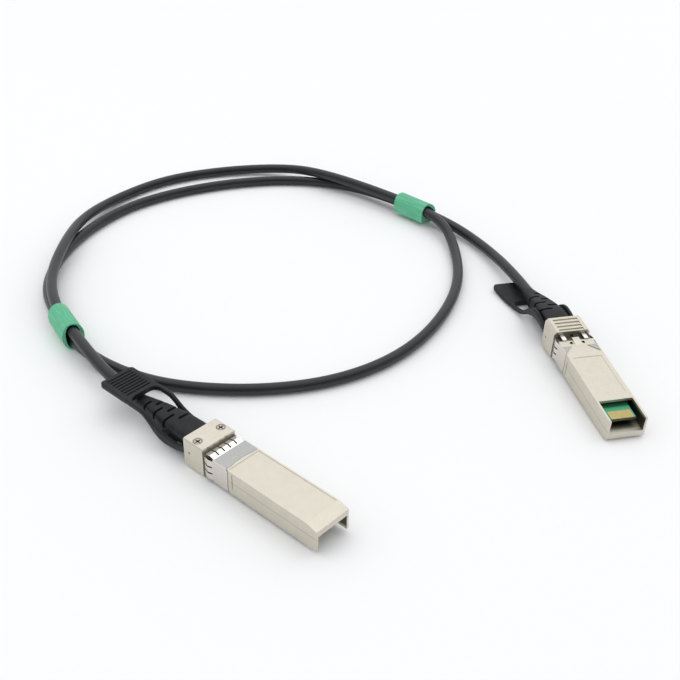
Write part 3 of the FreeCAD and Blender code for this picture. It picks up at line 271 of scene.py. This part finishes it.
def screw_metal(tag):
    """Turned and plated steel, with painted shade round the head's rim and in the cross recess."""
    made = Finish(f"screw_steel_{tag}", (0.62, 0.60, 0.55), 0.3, 1.0)
    points = made.coordinates(PLUGS[tag])
    turned = made.noise(points, 7.0, 3.0)
    plated = made.mixed(turned, (0.42, 0.40, 0.35), (0.60, 0.58, 0.53))
    # Both heads at once: the two lie at the same distance either side of the plug's middle.
    head_at = (52.0, 4.75, 0.0)
    folded = made.node("ShaderNodeVectorMath", _0=made.stretched(points, (1, 1, 0)))
    folded.operation = "ABSOLUTE"
    away = made.node("ShaderNodeVectorMath", _0=folded.outputs[0], _1=head_at)
    away.operation = "DISTANCE"
    # Painted shade: dark in the gap round each head's rim and down in its cross recess.
    rim = made.range(away.outputs["Value"], 1.18, 1.3)
    recess = made.range(made.axis(points, "Z"), 9.74, 9.66)
    made.color(made.mixed(made.either(rim, recess), plated, (0.08, 0.07, 0.055)))
    made.roughness(made.range(turned, 0.3, 0.7, 0.22, 0.4))
    made.bump(turned, 0.2, 0.02)
    return made.material


def laminate(tag):
    """Green solder resist over copper tracks, with painted shade at the front edge and inside the
    plug.
    """
    made = Finish(f"board_laminate_{tag}", (0.02, 0.34, 0.16), 0.3, 0.0, Coat_Weight=0.5,
                  Coat_Roughness=0.12)
    points = made.coordinates(PLUGS[tag])
    track_pitch = 0.8
    bent = made.noise(made.stretched(points, (0.12, 0.12, 0.12)), 1.0, 1.0)
    across = made.math("ADD", made.axis(points, "Y"), made.both(bent, 1.2))
    track = made.math("SINE", made.both(across, 2 * math.pi / track_pitch))
    tracks = made.range(track, 0.1, 0.5)
    glass = made.noise(points, 3.0, 4.0)
    ground = made.mixed(glass, (0.012, 0.24, 0.115), (0.02, 0.31, 0.15))
    along = made.axis(points, "X")
    # Painted shade: a dark strip along the board's front edge.
    painted_edge_shade = made.range(along, 3.75, 3.65)
    # Painted shade, deepening further inside the plug.
    inside = made.range(along, 8.9, 9.7, 0.0, 0.8)
    green = made.mixed(tracks, ground, (0.05, 0.47, 0.25))
    made.color(made.mixed(made.either(painted_edge_shade, inside), green, (0.03, 0.05, 0.025)))
    made.roughness(made.range(glass, 0.3, 0.7, 0.25, 0.42))
    made.bump(tracks, 0.5, 0.03)
    made.bump(made.waves(points, 1.2, "Y"), 0.1, 0.02)
    return made.material


def gold(tag):
    """Hard gold contact plating with faint wiping marks."""
    made = Finish(f"gold_plating_{tag}", (0.83, 0.60, 0.26), 0.25, 1.0)
    points = made.coordinates(PLUGS[tag])
    wiped = made.noise(made.stretched(points, (0.4, 12, 4)), 1.0, 3.0)
    made.color(made.mixed(wiped, (0.62, 0.40, 0.13), (0.76, 0.53, 0.22)))
    made.roughness(made.range(wiped, 0.3, 0.7, 0.18, 0.34))
    made.bump(wiped, 0.12, 0.02)
    return made.material


def resin(tag):
    """Moulded chip resin."""
    made = Finish(f"black_resin_{tag}", (0.02, 0.02, 0.022), 0.55)
    points = made.coordinates(PLUGS[tag])
    speck = made.noise(points, 14.0, 2.0)
    made.color(made.mixed(speck, (0.012, 0.012, 0.013), (0.035, 0.035, 0.038)))
    made.roughness(made.range(speck, 0.3, 0.7, 0.45, 0.65))
    made.bump(speck, 0.25, 0.02)
    return made.material


def wire_skin(tag):
    """Natural foamed insulation of the signal pairs."""
    made = Finish(f"wire_insulation_{tag}", (0.75, 0.73, 0.66), 0.4, Subsurface_Weight=0.2)
    made.set("Subsurface Radius", (0.001, 0.001, 0.0008))
    points = made.coordinates(PLUGS[tag])
    foam = made.noise(points, 6.0, 3.0)
    made.color(made.mixed(foam, (0.66, 0.64, 0.57), (0.82, 0.80, 0.74)))
    made.roughness(made.range(foam, 0.3, 0.7, 0.35, 0.5))
    made.bump(foam, 0.15, 0.02)
    return made.material


def braid(tag):
    """Tinned copper braid: two sets of crossing strands."""
    made = Finish(f"tinned_braid_{tag}", (0.62, 0.60, 0.57), 0.35, 1.0)
    points = made.coordinates(PLUGS[tag])
    slant = math.radians(35)
    swept = made.node("ShaderNodeVectorRotate", Vector=points, Angle=slant).outputs[0]
    other = made.node("ShaderNodeVectorRotate", Vector=points, Angle=-slant).outputs[0]
    woven = made.either(made.waves(swept, 0.9), made.waves(other, 0.9))
    made.color(made.mixed(woven, (0.20, 0.19, 0.18), (0.78, 0.76, 0.73)))
    made.roughness(made.range(woven, 0.0, 1.0, 0.5, 0.28))
    made.bump(woven, 0.8, 0.08)
    return made.material


def ferrule(tag):
    """Crimped tin-plated ring."""
    made = Finish(f"ferrule_metal_{tag}", (0.66, 0.65, 0.62), 0.3, 1.0)
    points = made.coordinates(PLUGS[tag])
    dents = made.noise(points, 2.4, 3.0)
    made.color(made.mixed(dents, (0.55, 0.54, 0.51), (0.76, 0.75, 0.72)))
    made.roughness(made.range(dents, 0.3, 0.7, 0.24, 0.42))
    made.bump(made.waves(points, 0.35, "X"), 0.4, 0.08)
    made.bump(dents, 0.2, 0.03)
    return made.material


def moulded_black(name, tag, dark, light, smoothest, roughest, grain):
    """Black moulding with a fine eroded texture."""
    made = Finish(f"{name}_{tag}", light, (smoothest + roughest) / 2, Specular_IOR_Level=0.26)
    points = made.coordinates(PLUGS[tag])
    fine = made.noise(points, grain, 3.0, 0.6)
    broad = made.noise(points, 0.4, 2.0)
    made.color(made.mixed(made.range(broad, 0.35, 0.65), dark, light))
    made.roughness(made.range(fine, 0.3, 0.7, smoothest, roughest))
    made.bump(fine, 0.3, 0.03)
    return made.material


def spring_steel(tag):
    """Drawn spring wire."""
    made = Finish(f"spring_wire_{tag}", (0.55, 0.55, 0.56), 0.25, 1.0)
    points = made.coordinates(PLUGS[tag])
    drawn = made.noise(points, 9.0, 2.0)
    made.color(made.mixed(drawn, (0.45, 0.45, 0.46), (0.66, 0.66, 0.67)))
    made.roughness(made.range(drawn, 0.3, 0.7, 0.2, 0.34))
    made.bump(drawn, 0.15, 0.01)
    return made.material


def jacket():
    """Extruded PVC: satin near-black with soft mottling and a fine grain."""
    made = Finish("cable_jacket", (0.0095, 0.0115, 0.0145), 0.34, Specular_IOR_Level=0.5)
    points = made.coordinates()
    mottle = made.noise(points, 0.12, 3.0)
    fine = made.noise(points, 3.5, 3.0)
    made.color(made.mixed(made.range(mottle, 0.35, 0.65), (0.0075, 0.009, 0.012),
                          (0.012, 0.014, 0.018)))
    made.roughness(made.range(fine, 0.3, 0.7, 0.3, 0.42))
    made.bump(fine, 0.18, 0.03)
    made.bump(mottle, 0.2, 0.2)
    return made.material


def strap():
    """Green woven tape: ribs across it, a fuzzy nap and slightly paler threads and streaks."""
    made = Finish("green_strap", (0.15, 0.58, 0.33), 0.9, Sheen_Weight=0.2, Sheen_Roughness=0.5)
    made.set("Sheen Tint", (0.55, 0.95, 0.72, 1))
    woven = made.node("ShaderNodeUVMap").outputs[0]
    points = made.coordinates()
    ribs = made.waves(woven, 0.55, "X", 0.6)
    ends = made.waves(woven, 0.42, "Y", 0.8)
    nap = made.noise(points, 2.6, 5.0, 0.65)
    thread = made.both(ribs, ends)
    ground = made.mixed(made.range(nap, 0.32, 0.68), (0.07, 0.39, 0.21), (0.13, 0.50, 0.30))
    streaks = made.noise(made.stretched(woven, (1.5, 0.1, 1)), 1.0, 3.0)
    pale = made.either(made.both(thread, 0.4), made.range(streaks, 0.5, 0.62, 0.0, 0.6))
    made.color(made.mixed(pale, ground, (0.21, 0.60, 0.40)))
    made.bump(streaks, 0.6, 0.25)
    made.bump(thread, 0.5, 0.12)
    made.bump(nap, 0.55, 0.12)
    return made.material


FINISHES = {}
for tag in TAGS:
    FINISHES.update({
        f"top_shell_{tag}": cast_metal(tag), f"emi_collar_{tag}": sprung_sheet(tag),
        f"housing_screws_{tag}": screw_metal(tag), f"circuit_board_{tag}": laminate(tag),
        f"contact_pads_{tag}": gold(tag), f"memory_chip_{tag}": resin(tag),
        f"signal_wires_{tag}": wire_skin(tag), f"shield_braid_{tag}": braid(tag),
        f"crimp_ferrule_{tag}": ferrule(tag), f"return_spring_{tag}": spring_steel(tag),
        f"strain_relief_{tag}": moulded_black(
            "black_rubber", tag, dark=(0.0060, 0.0065, 0.0085), light=(0.0105, 0.0115, 0.014),
            smoothest=0.42, roughest=0.56, grain=4.0),
        f"pull_tab_{tag}": moulded_black(
            "black_plastic", tag, dark=(0.0070, 0.0085, 0.0115), light=(0.0125, 0.0145, 0.0185),
            smoothest=0.4, roughest=0.56, grain=5.0),
    })
    FINISHES[f"bottom_shell_{tag}"] = FINISHES[f"top_shell_{tag}"]
    FINISHES[f"latch_slider_{tag}"] = FINISHES[f"emi_collar_{tag}"]
GREEN = strap()
BLACK_JACKET = jacket()
FINISHES.update({"cable": BLACK_JACKET, "cable_tie_left": GREEN, "cable_tie_right": GREEN})


# ---------------------------------------------------------------- pieces


def new_mesh(name, verts, faces, material, placement=None, uvs=None):
    """A mesh piece from points in millimetres."""
    placement = placement or Matrix.Identity(4)
    mesh = bpy.data.meshes.new(name)
    mesh.from_pydata([placement @ Vector(v) * MM for v in verts], [], faces)
    mesh.validate()
    if uvs:
        layer = mesh.uv_layers.new(name="UVMap")
        for loop in mesh.loops:
            layer.data[loop.index].uv = uvs[loop.vertex_index]
    mesh.materials.append(material)
    piece = bpy.data.objects.new(name, mesh)
    bpy.context.scene.collection.objects.link(piece)
    return piece


def smooth(piece, angle=40):
    """Smooth shading, but for edges sharper than an angle in degrees."""
    for polygon in piece.data.polygons:
        polygon.use_smooth = True
    piece.data.set_sharp_from_angle(angle=math.radians(angle))


def bevel(piece, width):
    made = piece.modifiers.new("edges", "BEVEL")
    made.width = width * MM
    made.segments = 2
    made.limit_method = "ANGLE"
    made.angle_limit = math.radians(30)
    made.use_clamp_overlap = True


def rings_to_faces(rings, around, first=0):
    """The faces of a tube of rings with closed ends, whose points start at a number."""
    faces = []
    for r in range(rings - 1):
        for k in range(around):
            a, b = first + r * around + k, first + r * around + (k + 1) % around
            faces.append((a, b, b + around, a + around))
    faces.append(tuple(first + k for k in reversed(range(around))))
    faces.append(tuple(first + (rings - 1) * around + k for k in range(around)))
    return faces


def ease(value, start, end):
    """0 up to a start, 1 from an end, and a smooth step between."""
    t = min(max((value - start) / (end - start), 0.0), 1.0)
    return t * t * (3 - 2 * t)


def oval(angle, across, tall, power):
    """A point on an oval of these half sizes: an ellipse at power 2, squarer above."""
    c, s = math.cos(angle), math.sin(angle)
    reach = (abs(c) ** power + abs(s) ** power) ** (-1 / power)
    return across * c * reach, tall * s * reach


def rounded_off(past, radius):
    """How far a quarter round has fallen away at a distance past its start."""
    return radius * (1 - math.sqrt(max(1 - max(0, past / radius) ** 2, 0)))


# The cable: its route in millimetres, from inside the first strain relief to the second.
ROUTE = [
    (-50.0, -77.65, 6.15), (-73.0, -77.25, 6.15),
    (-100.8, -71.4, 7.9), (-126.6, -63.7, 7.9), (-146.1, -51.6, 7.6), (-164.3, -32.7, 7.4),
    (-182.5, -10.6, 4.6), (-191.6, 14.2, 2.2), (-191.5, 42.7, 2.2), (-179.8, 68.6, 2.2),
    (-161.6, 89.4, 2.9), (-138.1, 92.9, 7.2), (-100.3, 97.3, 6.9), (-67.3, 96.6, 6.5),
    (-51.6, 86.5, 2.5), (-32.3, 64.6, 2.2), (-20.1, 37.2, 2.2), (-15.3, 7.9, 2.2),
    (-21.2, -19.9, 2.2), (-37.2, -43.4, 2.2), (-60.0, -61.8, 2.2), (-81.0, -69.2, 2.2),
    (-101.8, -71.1, 3.4), (-126.1, -63.9, 3.4), (-148.1, -53.6, 2.3), (-165.3, -34.2, 2.2),
    (-176.5, -11.0, 2.2), (-181.2, 14.4, 2.2), (-176.4, 40.2, 2.2), (-164.2, 66.2, 2.2),
    (-147.0, 87.0, 2.2), (-124.5, 99.4, 2.3), (-99.3, 100.9, 3.7), (-66.8, 100.2, 3.7),
    (-43.9, 95.6, 2.4), (-17.14, 80.27, 5.2), (1.92, 67.44, 5.25),
]
CABLE = 4.2  # diameter

line = bpy.data.curves.new("twinax_cable", "CURVE")
line.dimensions = "3D"
line.bevel_depth = CABLE / 2 * MM
line.bevel_resolution = 7
line.resolution_u = 12
line.use_fill_caps = True
spline = line.splines.new("NURBS")
spline.points.add(len(ROUTE) - 1)
for point, place in zip(spline.points, ROUTE):
    point.co = (*(Vector(place) * MM), 1)
spline.order_u = 3
spline.use_endpoint_u = True
spline.use_smooth = True
line.materials.append(BLACK_JACKET)
cable = bpy.data.objects.new("twinax_cable", line)
bpy.context.scene.collection.objects.link(cable)
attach(cable, "cable_assembly")
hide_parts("cable")


def wound_tie(name, node, low_run, high_run, flap):
    """A strap wound twice round two stacked strands; its outer end lies at flap degrees."""
    ends = [Vector(ROUTE[k]) for k in (*low_run, *high_run)]
    along = ((ends[1] - ends[0]) + (ends[3] - ends[2])).normalized()
    middle = sum(ends, Vector()) / 4
    up = (ends[2] + ends[3] - ends[0] - ends[1]).normalized()
    side = up.cross(along).normalized()
    up = along.cross(side)
    placement = Matrix((along, side, up)).transposed().to_4x4()
    placement.translation = middle
    length, turns = 16.4, 2.06
    around, rows = 72, 15
    steps = int(around * turns)
    # Layers count from the oval round the bare strands, at 0, to an outer one, at 1.
    layers_per_turn, thickness = 0.25, 0.44
    flap_lift, flap_steps = 0.8, 9
    drawn_in = 0.12
    woven_per_turn = 28.8

    def outline(angle, layer):
        """A point on the rounded oval of a layer."""
        inner, outer = (2.5, 4.75), (4.42, 5.46)
        across = inner[0] + (outer[0] - inner[0]) * layer
        tall = inner[1] + (outer[1] - inner[1]) * layer
        power = 2.0 + 0.5 * (1 - layer)
        return oval(angle, across, tall, power)

    verts, uvs = [], []
    for face in (0, 1):
        for step in range(steps + 1):
            turn = step / steps * turns
            angle = math.radians(flap) + 2 * math.pi * (turn - turns)
            layer = turn * layers_per_turn + thickness * face
            layer += flap_lift * ease(step, steps - flap_steps, steps)
            y, z = outline(angle, layer)
            fray = 0.06 * math.sin(step * 1.9) + 0.04 * math.sin(step * 0.43 + turn)
            for row in range(rows):
                x = (row / (rows - 1) - 0.5) * length
                edge = (row in (0, rows - 1)) * (1 if row else -1)
                verts.append((x + (fray - drawn_in) * edge, y, z))
                uvs.append((step / around * woven_per_turn, x))
    faces = []
    sheet = (steps + 1) * rows
    for step in range(steps):
        for row in range(rows - 1):
            a = step * rows + row
            faces.append((a, a + 1, a + 1 + rows, a + rows))
            b = a + sheet
            faces.append((b + rows, b + 1 + rows, b + 1, b))
        for row in (0, rows - 1):
            a, b = step * rows + row, step * rows + row + sheet
            quad = (a, a + rows, b + rows, b)
            faces.append(quad if row == 0 else tuple(reversed(quad)))
    for step in (0, steps):
        for row in range(rows - 1):
            a, b = step * rows + row, step * rows + row + sheet
            quad = (a, b, b + 1, a + 1)
            faces.append(quad if step == 0 else tuple(reversed(quad)))
    tie = new_mesh(name, verts, faces, GREEN, placement, uvs)
    smooth(tie, 50)
    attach(tie, "cable_assembly")
    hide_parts(node)
    return tie


tie_left = wound_tie("wound_tie_left", "cable_tie_left", (22, 23), (2, 3), -100)
tie_right = wound_tie("wound_tie_right", "cable_tie_right", (32, 33), (12, 13), 165)


def hang(tag, at, most=3.3, start=5, end=35):
    """How far the second plug's soft rear hangs down at a distance behind the plug."""
    return most * ease(at, start, end) if tag == "b" else 0.0


def sway(tag, at, most=1.2, start=4, end=34):
    """How far the second plug's soft rear is bent aside at a distance behind the plug."""
    return most * ease(at, start, end) if tag == "b" else 0.0


def tab_sway(tag, at):
    """The same for the pull tab, whose longer end goes further aside."""
    return sway(tag, at, most=4.3, start=12, end=44)


def bent_braid(tag):
    """The shield braid inside the bent strain relief."""
    front, end, radius = -6.1, 22.0, 1.7
    count, around = 30, 32
    verts = []
    for ring in range(count):
        at = front + (end - front) * ring / (count - 1)
        for k in range(around):
            angle = 2 * math.pi * k / around
            verts.append((REAR + at, radius * math.cos(angle) - sway(tag, at),
                          AXIS + radius * math.sin(angle) + hang(tag, at)))
    piece = new_mesh(f"bent_braid_{tag}", verts, rings_to_faces(count, around),
                     FINISHES[f"shield_braid_{tag}"], PLUGS[tag])
    smooth(piece)
    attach(piece, "cable_assembly")
    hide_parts(f"shield_braid_{tag}")


def coil(tag):
    """The return spring between the shell's post and the slider, copied from its node with its own
    finish.
    """
    name = f"return_spring_{tag}"
    mesh = nodes[name].data.copy()
    mesh.transform(nodes[name].matrix_world)
    mesh.materials.clear()
    mesh.materials.append(FINISHES[name])
    piece = bpy.data.objects.new(f"coil_spring_{tag}", mesh)
    bpy.context.scene.collection.objects.link(piece)
    own = [PLUGS[tag].inverted() @ (vertex.co / MM) for vertex in mesh.vertices]
    post, bar = (PLUGS[tag] @ Vector((reach(at.x for at in own), 0, own[0].z)) * MM
                 for reach in (max, min))
    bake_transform(piece)
    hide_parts(name)


def boot(tag):
    """The moulded strain relief: a rounded taper with staggered hooked slots and a lipped tip."""
    length, around = 30.0, 96
    width = [(0, 10.1), (10, 9.5), (20, 7.2), (30, 4.9)]
    height = [(0, 7.4), (10, 7.18), (20, 6.15), (30, 4.9)]
    first_slot, slot_pitch, slot_width, slot_depth = 9.3, 2.85, 0.8, 0.95
    slots = [(first_slot + slot_pitch * k, -1 if k % 2 == 0 else 1) for k in range(6)]
    lip_length, lip_depth = 0.5, 0.12

    def between(table, at):
        for (x0, v0), (x1, v1) in zip(table, table[1:]):
            if at <= x1 + 1e-9:
                return v0 + (v1 - v0) * (at - x0) / (x1 - x0)
        return table[-1][1]

    stations = {round(0.75 * k, 3) for k in range(41)}
    for start, _ in slots:
        stop = start + slot_width
        stations = {s for s in stations if not start - 0.3 < s < stop + 0.3}
        stations |= {start - 0.12, start, start + 0.1, start + slot_width / 2, stop - 0.1, stop,
                     stop + 0.12}
    stations = sorted(stations)
    verts = []
    for at in stations:
        power = 5.0 - 3.0 * ease(at, 16, 30)
        w, h = between(width, at) / 2, between(height, at) / 2
        if at > length - lip_length:
            w, h = w - lip_depth, h - lip_depth
        for k in range(around):
            y, z = oval(2 * math.pi * (k + 0.5) / around, w, h, power)
            sunk = 0.0
            for start, side in slots:
                stop = start + slot_width
                inside = (ease(at, start - 0.05, start + 0.1)
                          * (1 - ease(at, stop - 0.1, stop + 0.05)))
                flank = ease(y * side, -0.3, 0.15) * ease(abs(z) / h, 0.12, 0.35)
                sunk = max(sunk, inside * flank)
            shrink = 1 - slot_depth * sunk / math.hypot(y, z)
            verts.append((REAR + at, y * shrink - sway(tag, at),
                          AXIS + z * shrink + hang(tag, at)))
    faces = rings_to_faces(len(stations), around)
    piece = new_mesh(f"boot_{tag}", verts, faces, FINISHES[f"strain_relief_{tag}"], PLUGS[tag])
    smooth(piece, 35)
    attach(piece, "cable_assembly")
    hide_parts(f"strain_relief_{tag}")


# Distance behind the plug, underside and upper side of the pull tab's arms.
ARM_SECTIONS = [
    (0.3, 3.6, 5.8), (2.5, 2.8, 5.25), (5.0, 2.2, 4.95), (7.5, 1.9, 4.95), (10.0, 1.8, 5.1),
    (12.0, 2.1, 5.45), (13.5, 2.6, 5.85), (15.0, 3.45, 6.4), (16.5, 4.6, 7.15),
    (18.0, 5.75, 8.0), (19.5, 6.8, 8.8), (21.0, 7.45, 9.35), (22.8, 7.7, 9.5), (29.0, 7.7, 9.5),
]


def along_curve(table, at):
    """The values of a table at a distance, on a smooth curve through its rows."""
    k = max(i for i in range(len(table) - 1) if table[i][0] <= at + 1e-9)
    rows = [table[min(max(j, 0), len(table) - 1)] for j in (k - 1, k, k + 1, k + 2)]
    (x0, *a), (x1, *b), (x2, *c), (x3, *d) = rows
    t = (at - x1) / (x2 - x1)
    values = []
    for v0, v1, v2, v3 in zip(a, b, c, d):
        m1 = (v2 - v0) / (x2 - x0) * (x2 - x1) if x2 > x0 else 0.0
        m2 = (v3 - v1) / (x3 - x1) * (x2 - x1) if x3 > x1 else 0.0
        values.append((2 * t**3 - 3 * t**2 + 1) * v1 + (t**3 - 2 * t**2 + t) * m1
                      + (3 * t**2 - 2 * t**3) * v2 + (t**3 - t**2) * m2)
    return values


def pull_tab(tag):
    """Two smoothly curved arms that flow into a grooved finger pad with a rounded cut-out."""
    verts, faces = [], []
    inner, outer = 5.4, 6.7
    arm_start, arm_step, arm_rings = 0.3, 0.35, 83
    around, power = 28, 4.5
    cut_end, cut_radius = 28.3, 2.6
    end, end_radius = 42.2, 1.2

    for side in (1, -1):
        first = len(verts)
        for ring in range(arm_rings):
            at = arm_start + arm_step * ring
            under, upper = along_curve(ARM_SECTIONS, min(at, ARM_SECTIONS[-1][0]))
            near = inner - rounded_off(at - (cut_end - cut_radius), cut_radius)
            swell = 1 + 0.10 * ease(at, 2, 9) * (1 - ease(at, 13, 20))
            for k in range(around):
                y, z = oval(2 * math.pi * (k + 0.5) / around, (outer - near) / 2,
                            (upper - under) / 2, power)
                verts.append((REAR + at, side * ((near + outer) / 2 + y) - tab_sway(tag, at),
                              (under + upper) / 2 + z * swell + hang(tag, at)))
        faces += rings_to_faces(arm_rings, around, first)

    _, bottom, top = ARM_SECTIONS[-1]
    corner = 0.3
    groove_depth, groove_pitch, last_groove = 0.45, 1.45, end - 1.5
    grooves = [last_groove - groove_pitch * k for k in range(8)]
    groove_rings = sorted({round(groove + step, 3) for groove in grooves
                           for step in (-0.66, -0.56, -0.42, -0.18, -0.04, 0.06)})
    stations = sorted([cut_end + step for step in (0.0, 0.12, 0.5, 1.2)]
                      + [at for at in groove_rings if at > cut_end + 1.3]
                      + [end - step for step in (1.2, 1.0, 0.8, 0.6, 0.42, 0.26, 0.14, 0.05, 0.0)])
    outward = [0.25, 0.5, 0.685, 0.70, 0.74, 0.8, 0.9, 0.96, 0.99, 1]
    rows = [-share for share in reversed(outward)] + [0.0] + outward
    first = len(verts)
    for at in stations:
        half = outer - rounded_off(at - (end - end_radius), end_radius)
        sunk = 0.0
        for groove in grooves:
            inside = (ease(at, groove - 0.64, groove - 0.5)
                      * (1 - ease(at, groove - 0.1, groove + 0.04)))
            sunk = max(sunk, groove_depth * inside)
        nip = 0.12 * (at < cut_end + 0.05) + 0.14 * (at > end - 0.03)
        for share in rows:
            y = half * share
            z = bottom + rounded_off(abs(y) - half + corner, corner) + nip
            verts.append((REAR + at, y - tab_sway(tag, at), z + hang(tag, at)))
        for share in reversed(rows):
            y = half * share
            in_groove = 1 - ease(abs(y), 4.6, 4.8)
            z = top - rounded_off(abs(y) - half + corner, corner) - nip - sunk * in_groove
            verts.append((REAR + at, y - tab_sway(tag, at), z + hang(tag, at)))
    faces += rings_to_faces(len(stations), 2 * len(rows), first)
    piece = new_mesh(f"finger_pull_{tag}", verts, faces, FINISHES[f"pull_tab_{tag}"], PLUGS[tag])
    smooth(piece, 38)
    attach(piece, f"latch_release_{tag}")
    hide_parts(f"pull_tab_{tag}")


for tag in TAGS:
    boot(tag)
    pull_tab(tag)
    coil(tag)
bent_braid("b")


# ---------------------------------------------------------------- carried-over solids

# Bevelled edges in millimetres, by kind of node.
EDGES = {
    "top_shell": 0.14, "bottom_shell": 0.14, "emi_collar": 0.04, "housing_screws": 0.05,
    "circuit_board": 0.05, "contact_pads": 0.01, "memory_chip": 0.1, "crimp_ferrule": 0.1,
    "latch_slider": 0.06,
}
for name, node in nodes.items():
    finish = FINISHES[name]
    if node.material_slots:
        for slot in node.material_slots:
            slot.material = finish
    else:
        node.data.materials.append(finish)
    kind = name[:-2]
    if kind in EDGES:
        bevel(node, EDGES[kind])


# ---------------------------------------------------------------- floor, light and world


def floor():
    size = 3000.0
    corners = [(-size, -size, 0), (size, -size, 0), (size, size, 0), (-size, size, 0)]
    material = bpy.data.materials.new("backdrop")
    piece = new_mesh("floor", corners, [(0, 1, 2, 3)], material)
    material.use_nodes = True
    shader = material.node_tree.nodes["Principled BSDF"]
    shader.inputs["Base Color"].default_value = (0.91, 0.915, 0.925, 1)
    shader.inputs["Roughness"].default_value = 0.8
    shader.inputs["Specular IOR Level"].default_value = 0.1
    piece.location.z = -0.0002


def area_light(name, place, aim, size, watts):
    """A round lamp that reflections don't see."""
    data = bpy.data.lights.new(name, "AREA")
    data.shape = "DISK"
    data.size = size
    data.energy = watts
    light = bpy.data.objects.new(name, data)
    bpy.context.scene.collection.objects.link(light)
    light.location = place
    light.rotation_euler = (Vector(aim) - Vector(place)).to_track_quat("-Z", "Y").to_euler()
    light.visible_glossy = False


floor()
centre = (-0.06, 0.0, 0.0)
area_light("key", (0.05, 0.95, 1.2), centre, size=1.6, watts=2.2)
area_light("fill", (-0.7, -0.8, 0.9), centre, size=1.4, watts=1.8)


def studio():
    """A pale room for the camera, and a dome for the light.

    The dome is brightest overhead. Reflections see it darker on the near side, and diffuse
    light sees it evenly all round.
    """
    near_side, darkening = (0.66, -0.75, 0.0), (-0.9, 0.8, 1.18, 0.30)
    even_share = 0.77
    world = bpy.data.worlds.new("studio")
    world.use_nodes = True
    tree = world.node_tree
    shade = tree.nodes["Background"]
    ray = tree.nodes.new("ShaderNodeLightPath")
    heading = tree.nodes.new("ShaderNodeTexCoord")
    upward = tree.nodes.new("ShaderNodeSeparateXYZ")
    tree.links.new(heading.outputs["Generated"], upward.inputs[0])
    dome = tree.nodes.new("ShaderNodeValToRGB")
    levels = [(0.0, (0.80, 0.80, 0.81, 1)), (0.45, (0.86, 0.86, 0.87, 1)),
              (0.68, (0.98, 0.98, 0.98, 1)), (0.85, (1.75, 1.75, 1.75, 1))]
    dome.color_ramp.elements.remove(dome.color_ramp.elements[-1])
    dome.color_ramp.elements[0].position = levels[0][0]
    dome.color_ramp.elements[0].color = levels[0][1]
    for at, value in levels[1:]:
        dome.color_ramp.elements.new(at).color = value
    tree.links.new(upward.outputs["Z"], dome.inputs[0])
    toward = tree.nodes.new("ShaderNodeVectorMath")
    toward.operation = "DOT_PRODUCT"
    toward.inputs[1].default_value = near_side
    tree.links.new(heading.outputs["Generated"], toward.inputs[0])
    aside = tree.nodes.new("ShaderNodeMapRange")
    tree.links.new(toward.outputs["Value"], aside.inputs[0])
    for socket, value in zip(aside.inputs[1:5], darkening):
        socket.default_value = value
    even = tree.nodes.new("ShaderNodeMix")
    tree.links.new(ray.outputs["Is Diffuse Ray"], even.inputs[MIX_FACTOR])
    tree.links.new(aside.outputs[0], even.inputs[MIX_VALUES[0]])
    even.inputs[MIX_VALUES[1]].default_value = even_share
    leaning = tree.nodes.new("ShaderNodeVectorMath")
    leaning.operation = "SCALE"
    tree.links.new(dome.outputs[0], leaning.inputs[0])
    tree.links.new(even.outputs[0], leaning.inputs["Scale"])
    room = tree.nodes.new("ShaderNodeMix")
    room.data_type = "RGBA"
    tree.links.new(ray.outputs["Is Camera Ray"], room.inputs[MIX_FACTOR])
    tree.links.new(leaning.outputs[0], room.inputs[MIX_COLORS[0]])
    room.inputs[MIX_COLORS[1]].default_value = (0.955, 0.97, 0.99, 1)
    tree.links.new(room.outputs[MIX_COLOR_OUT], shade.inputs["Color"])
    bpy.context.scene.world = world


studio()
bpy.context.scene.view_settings.view_transform = "Standard"
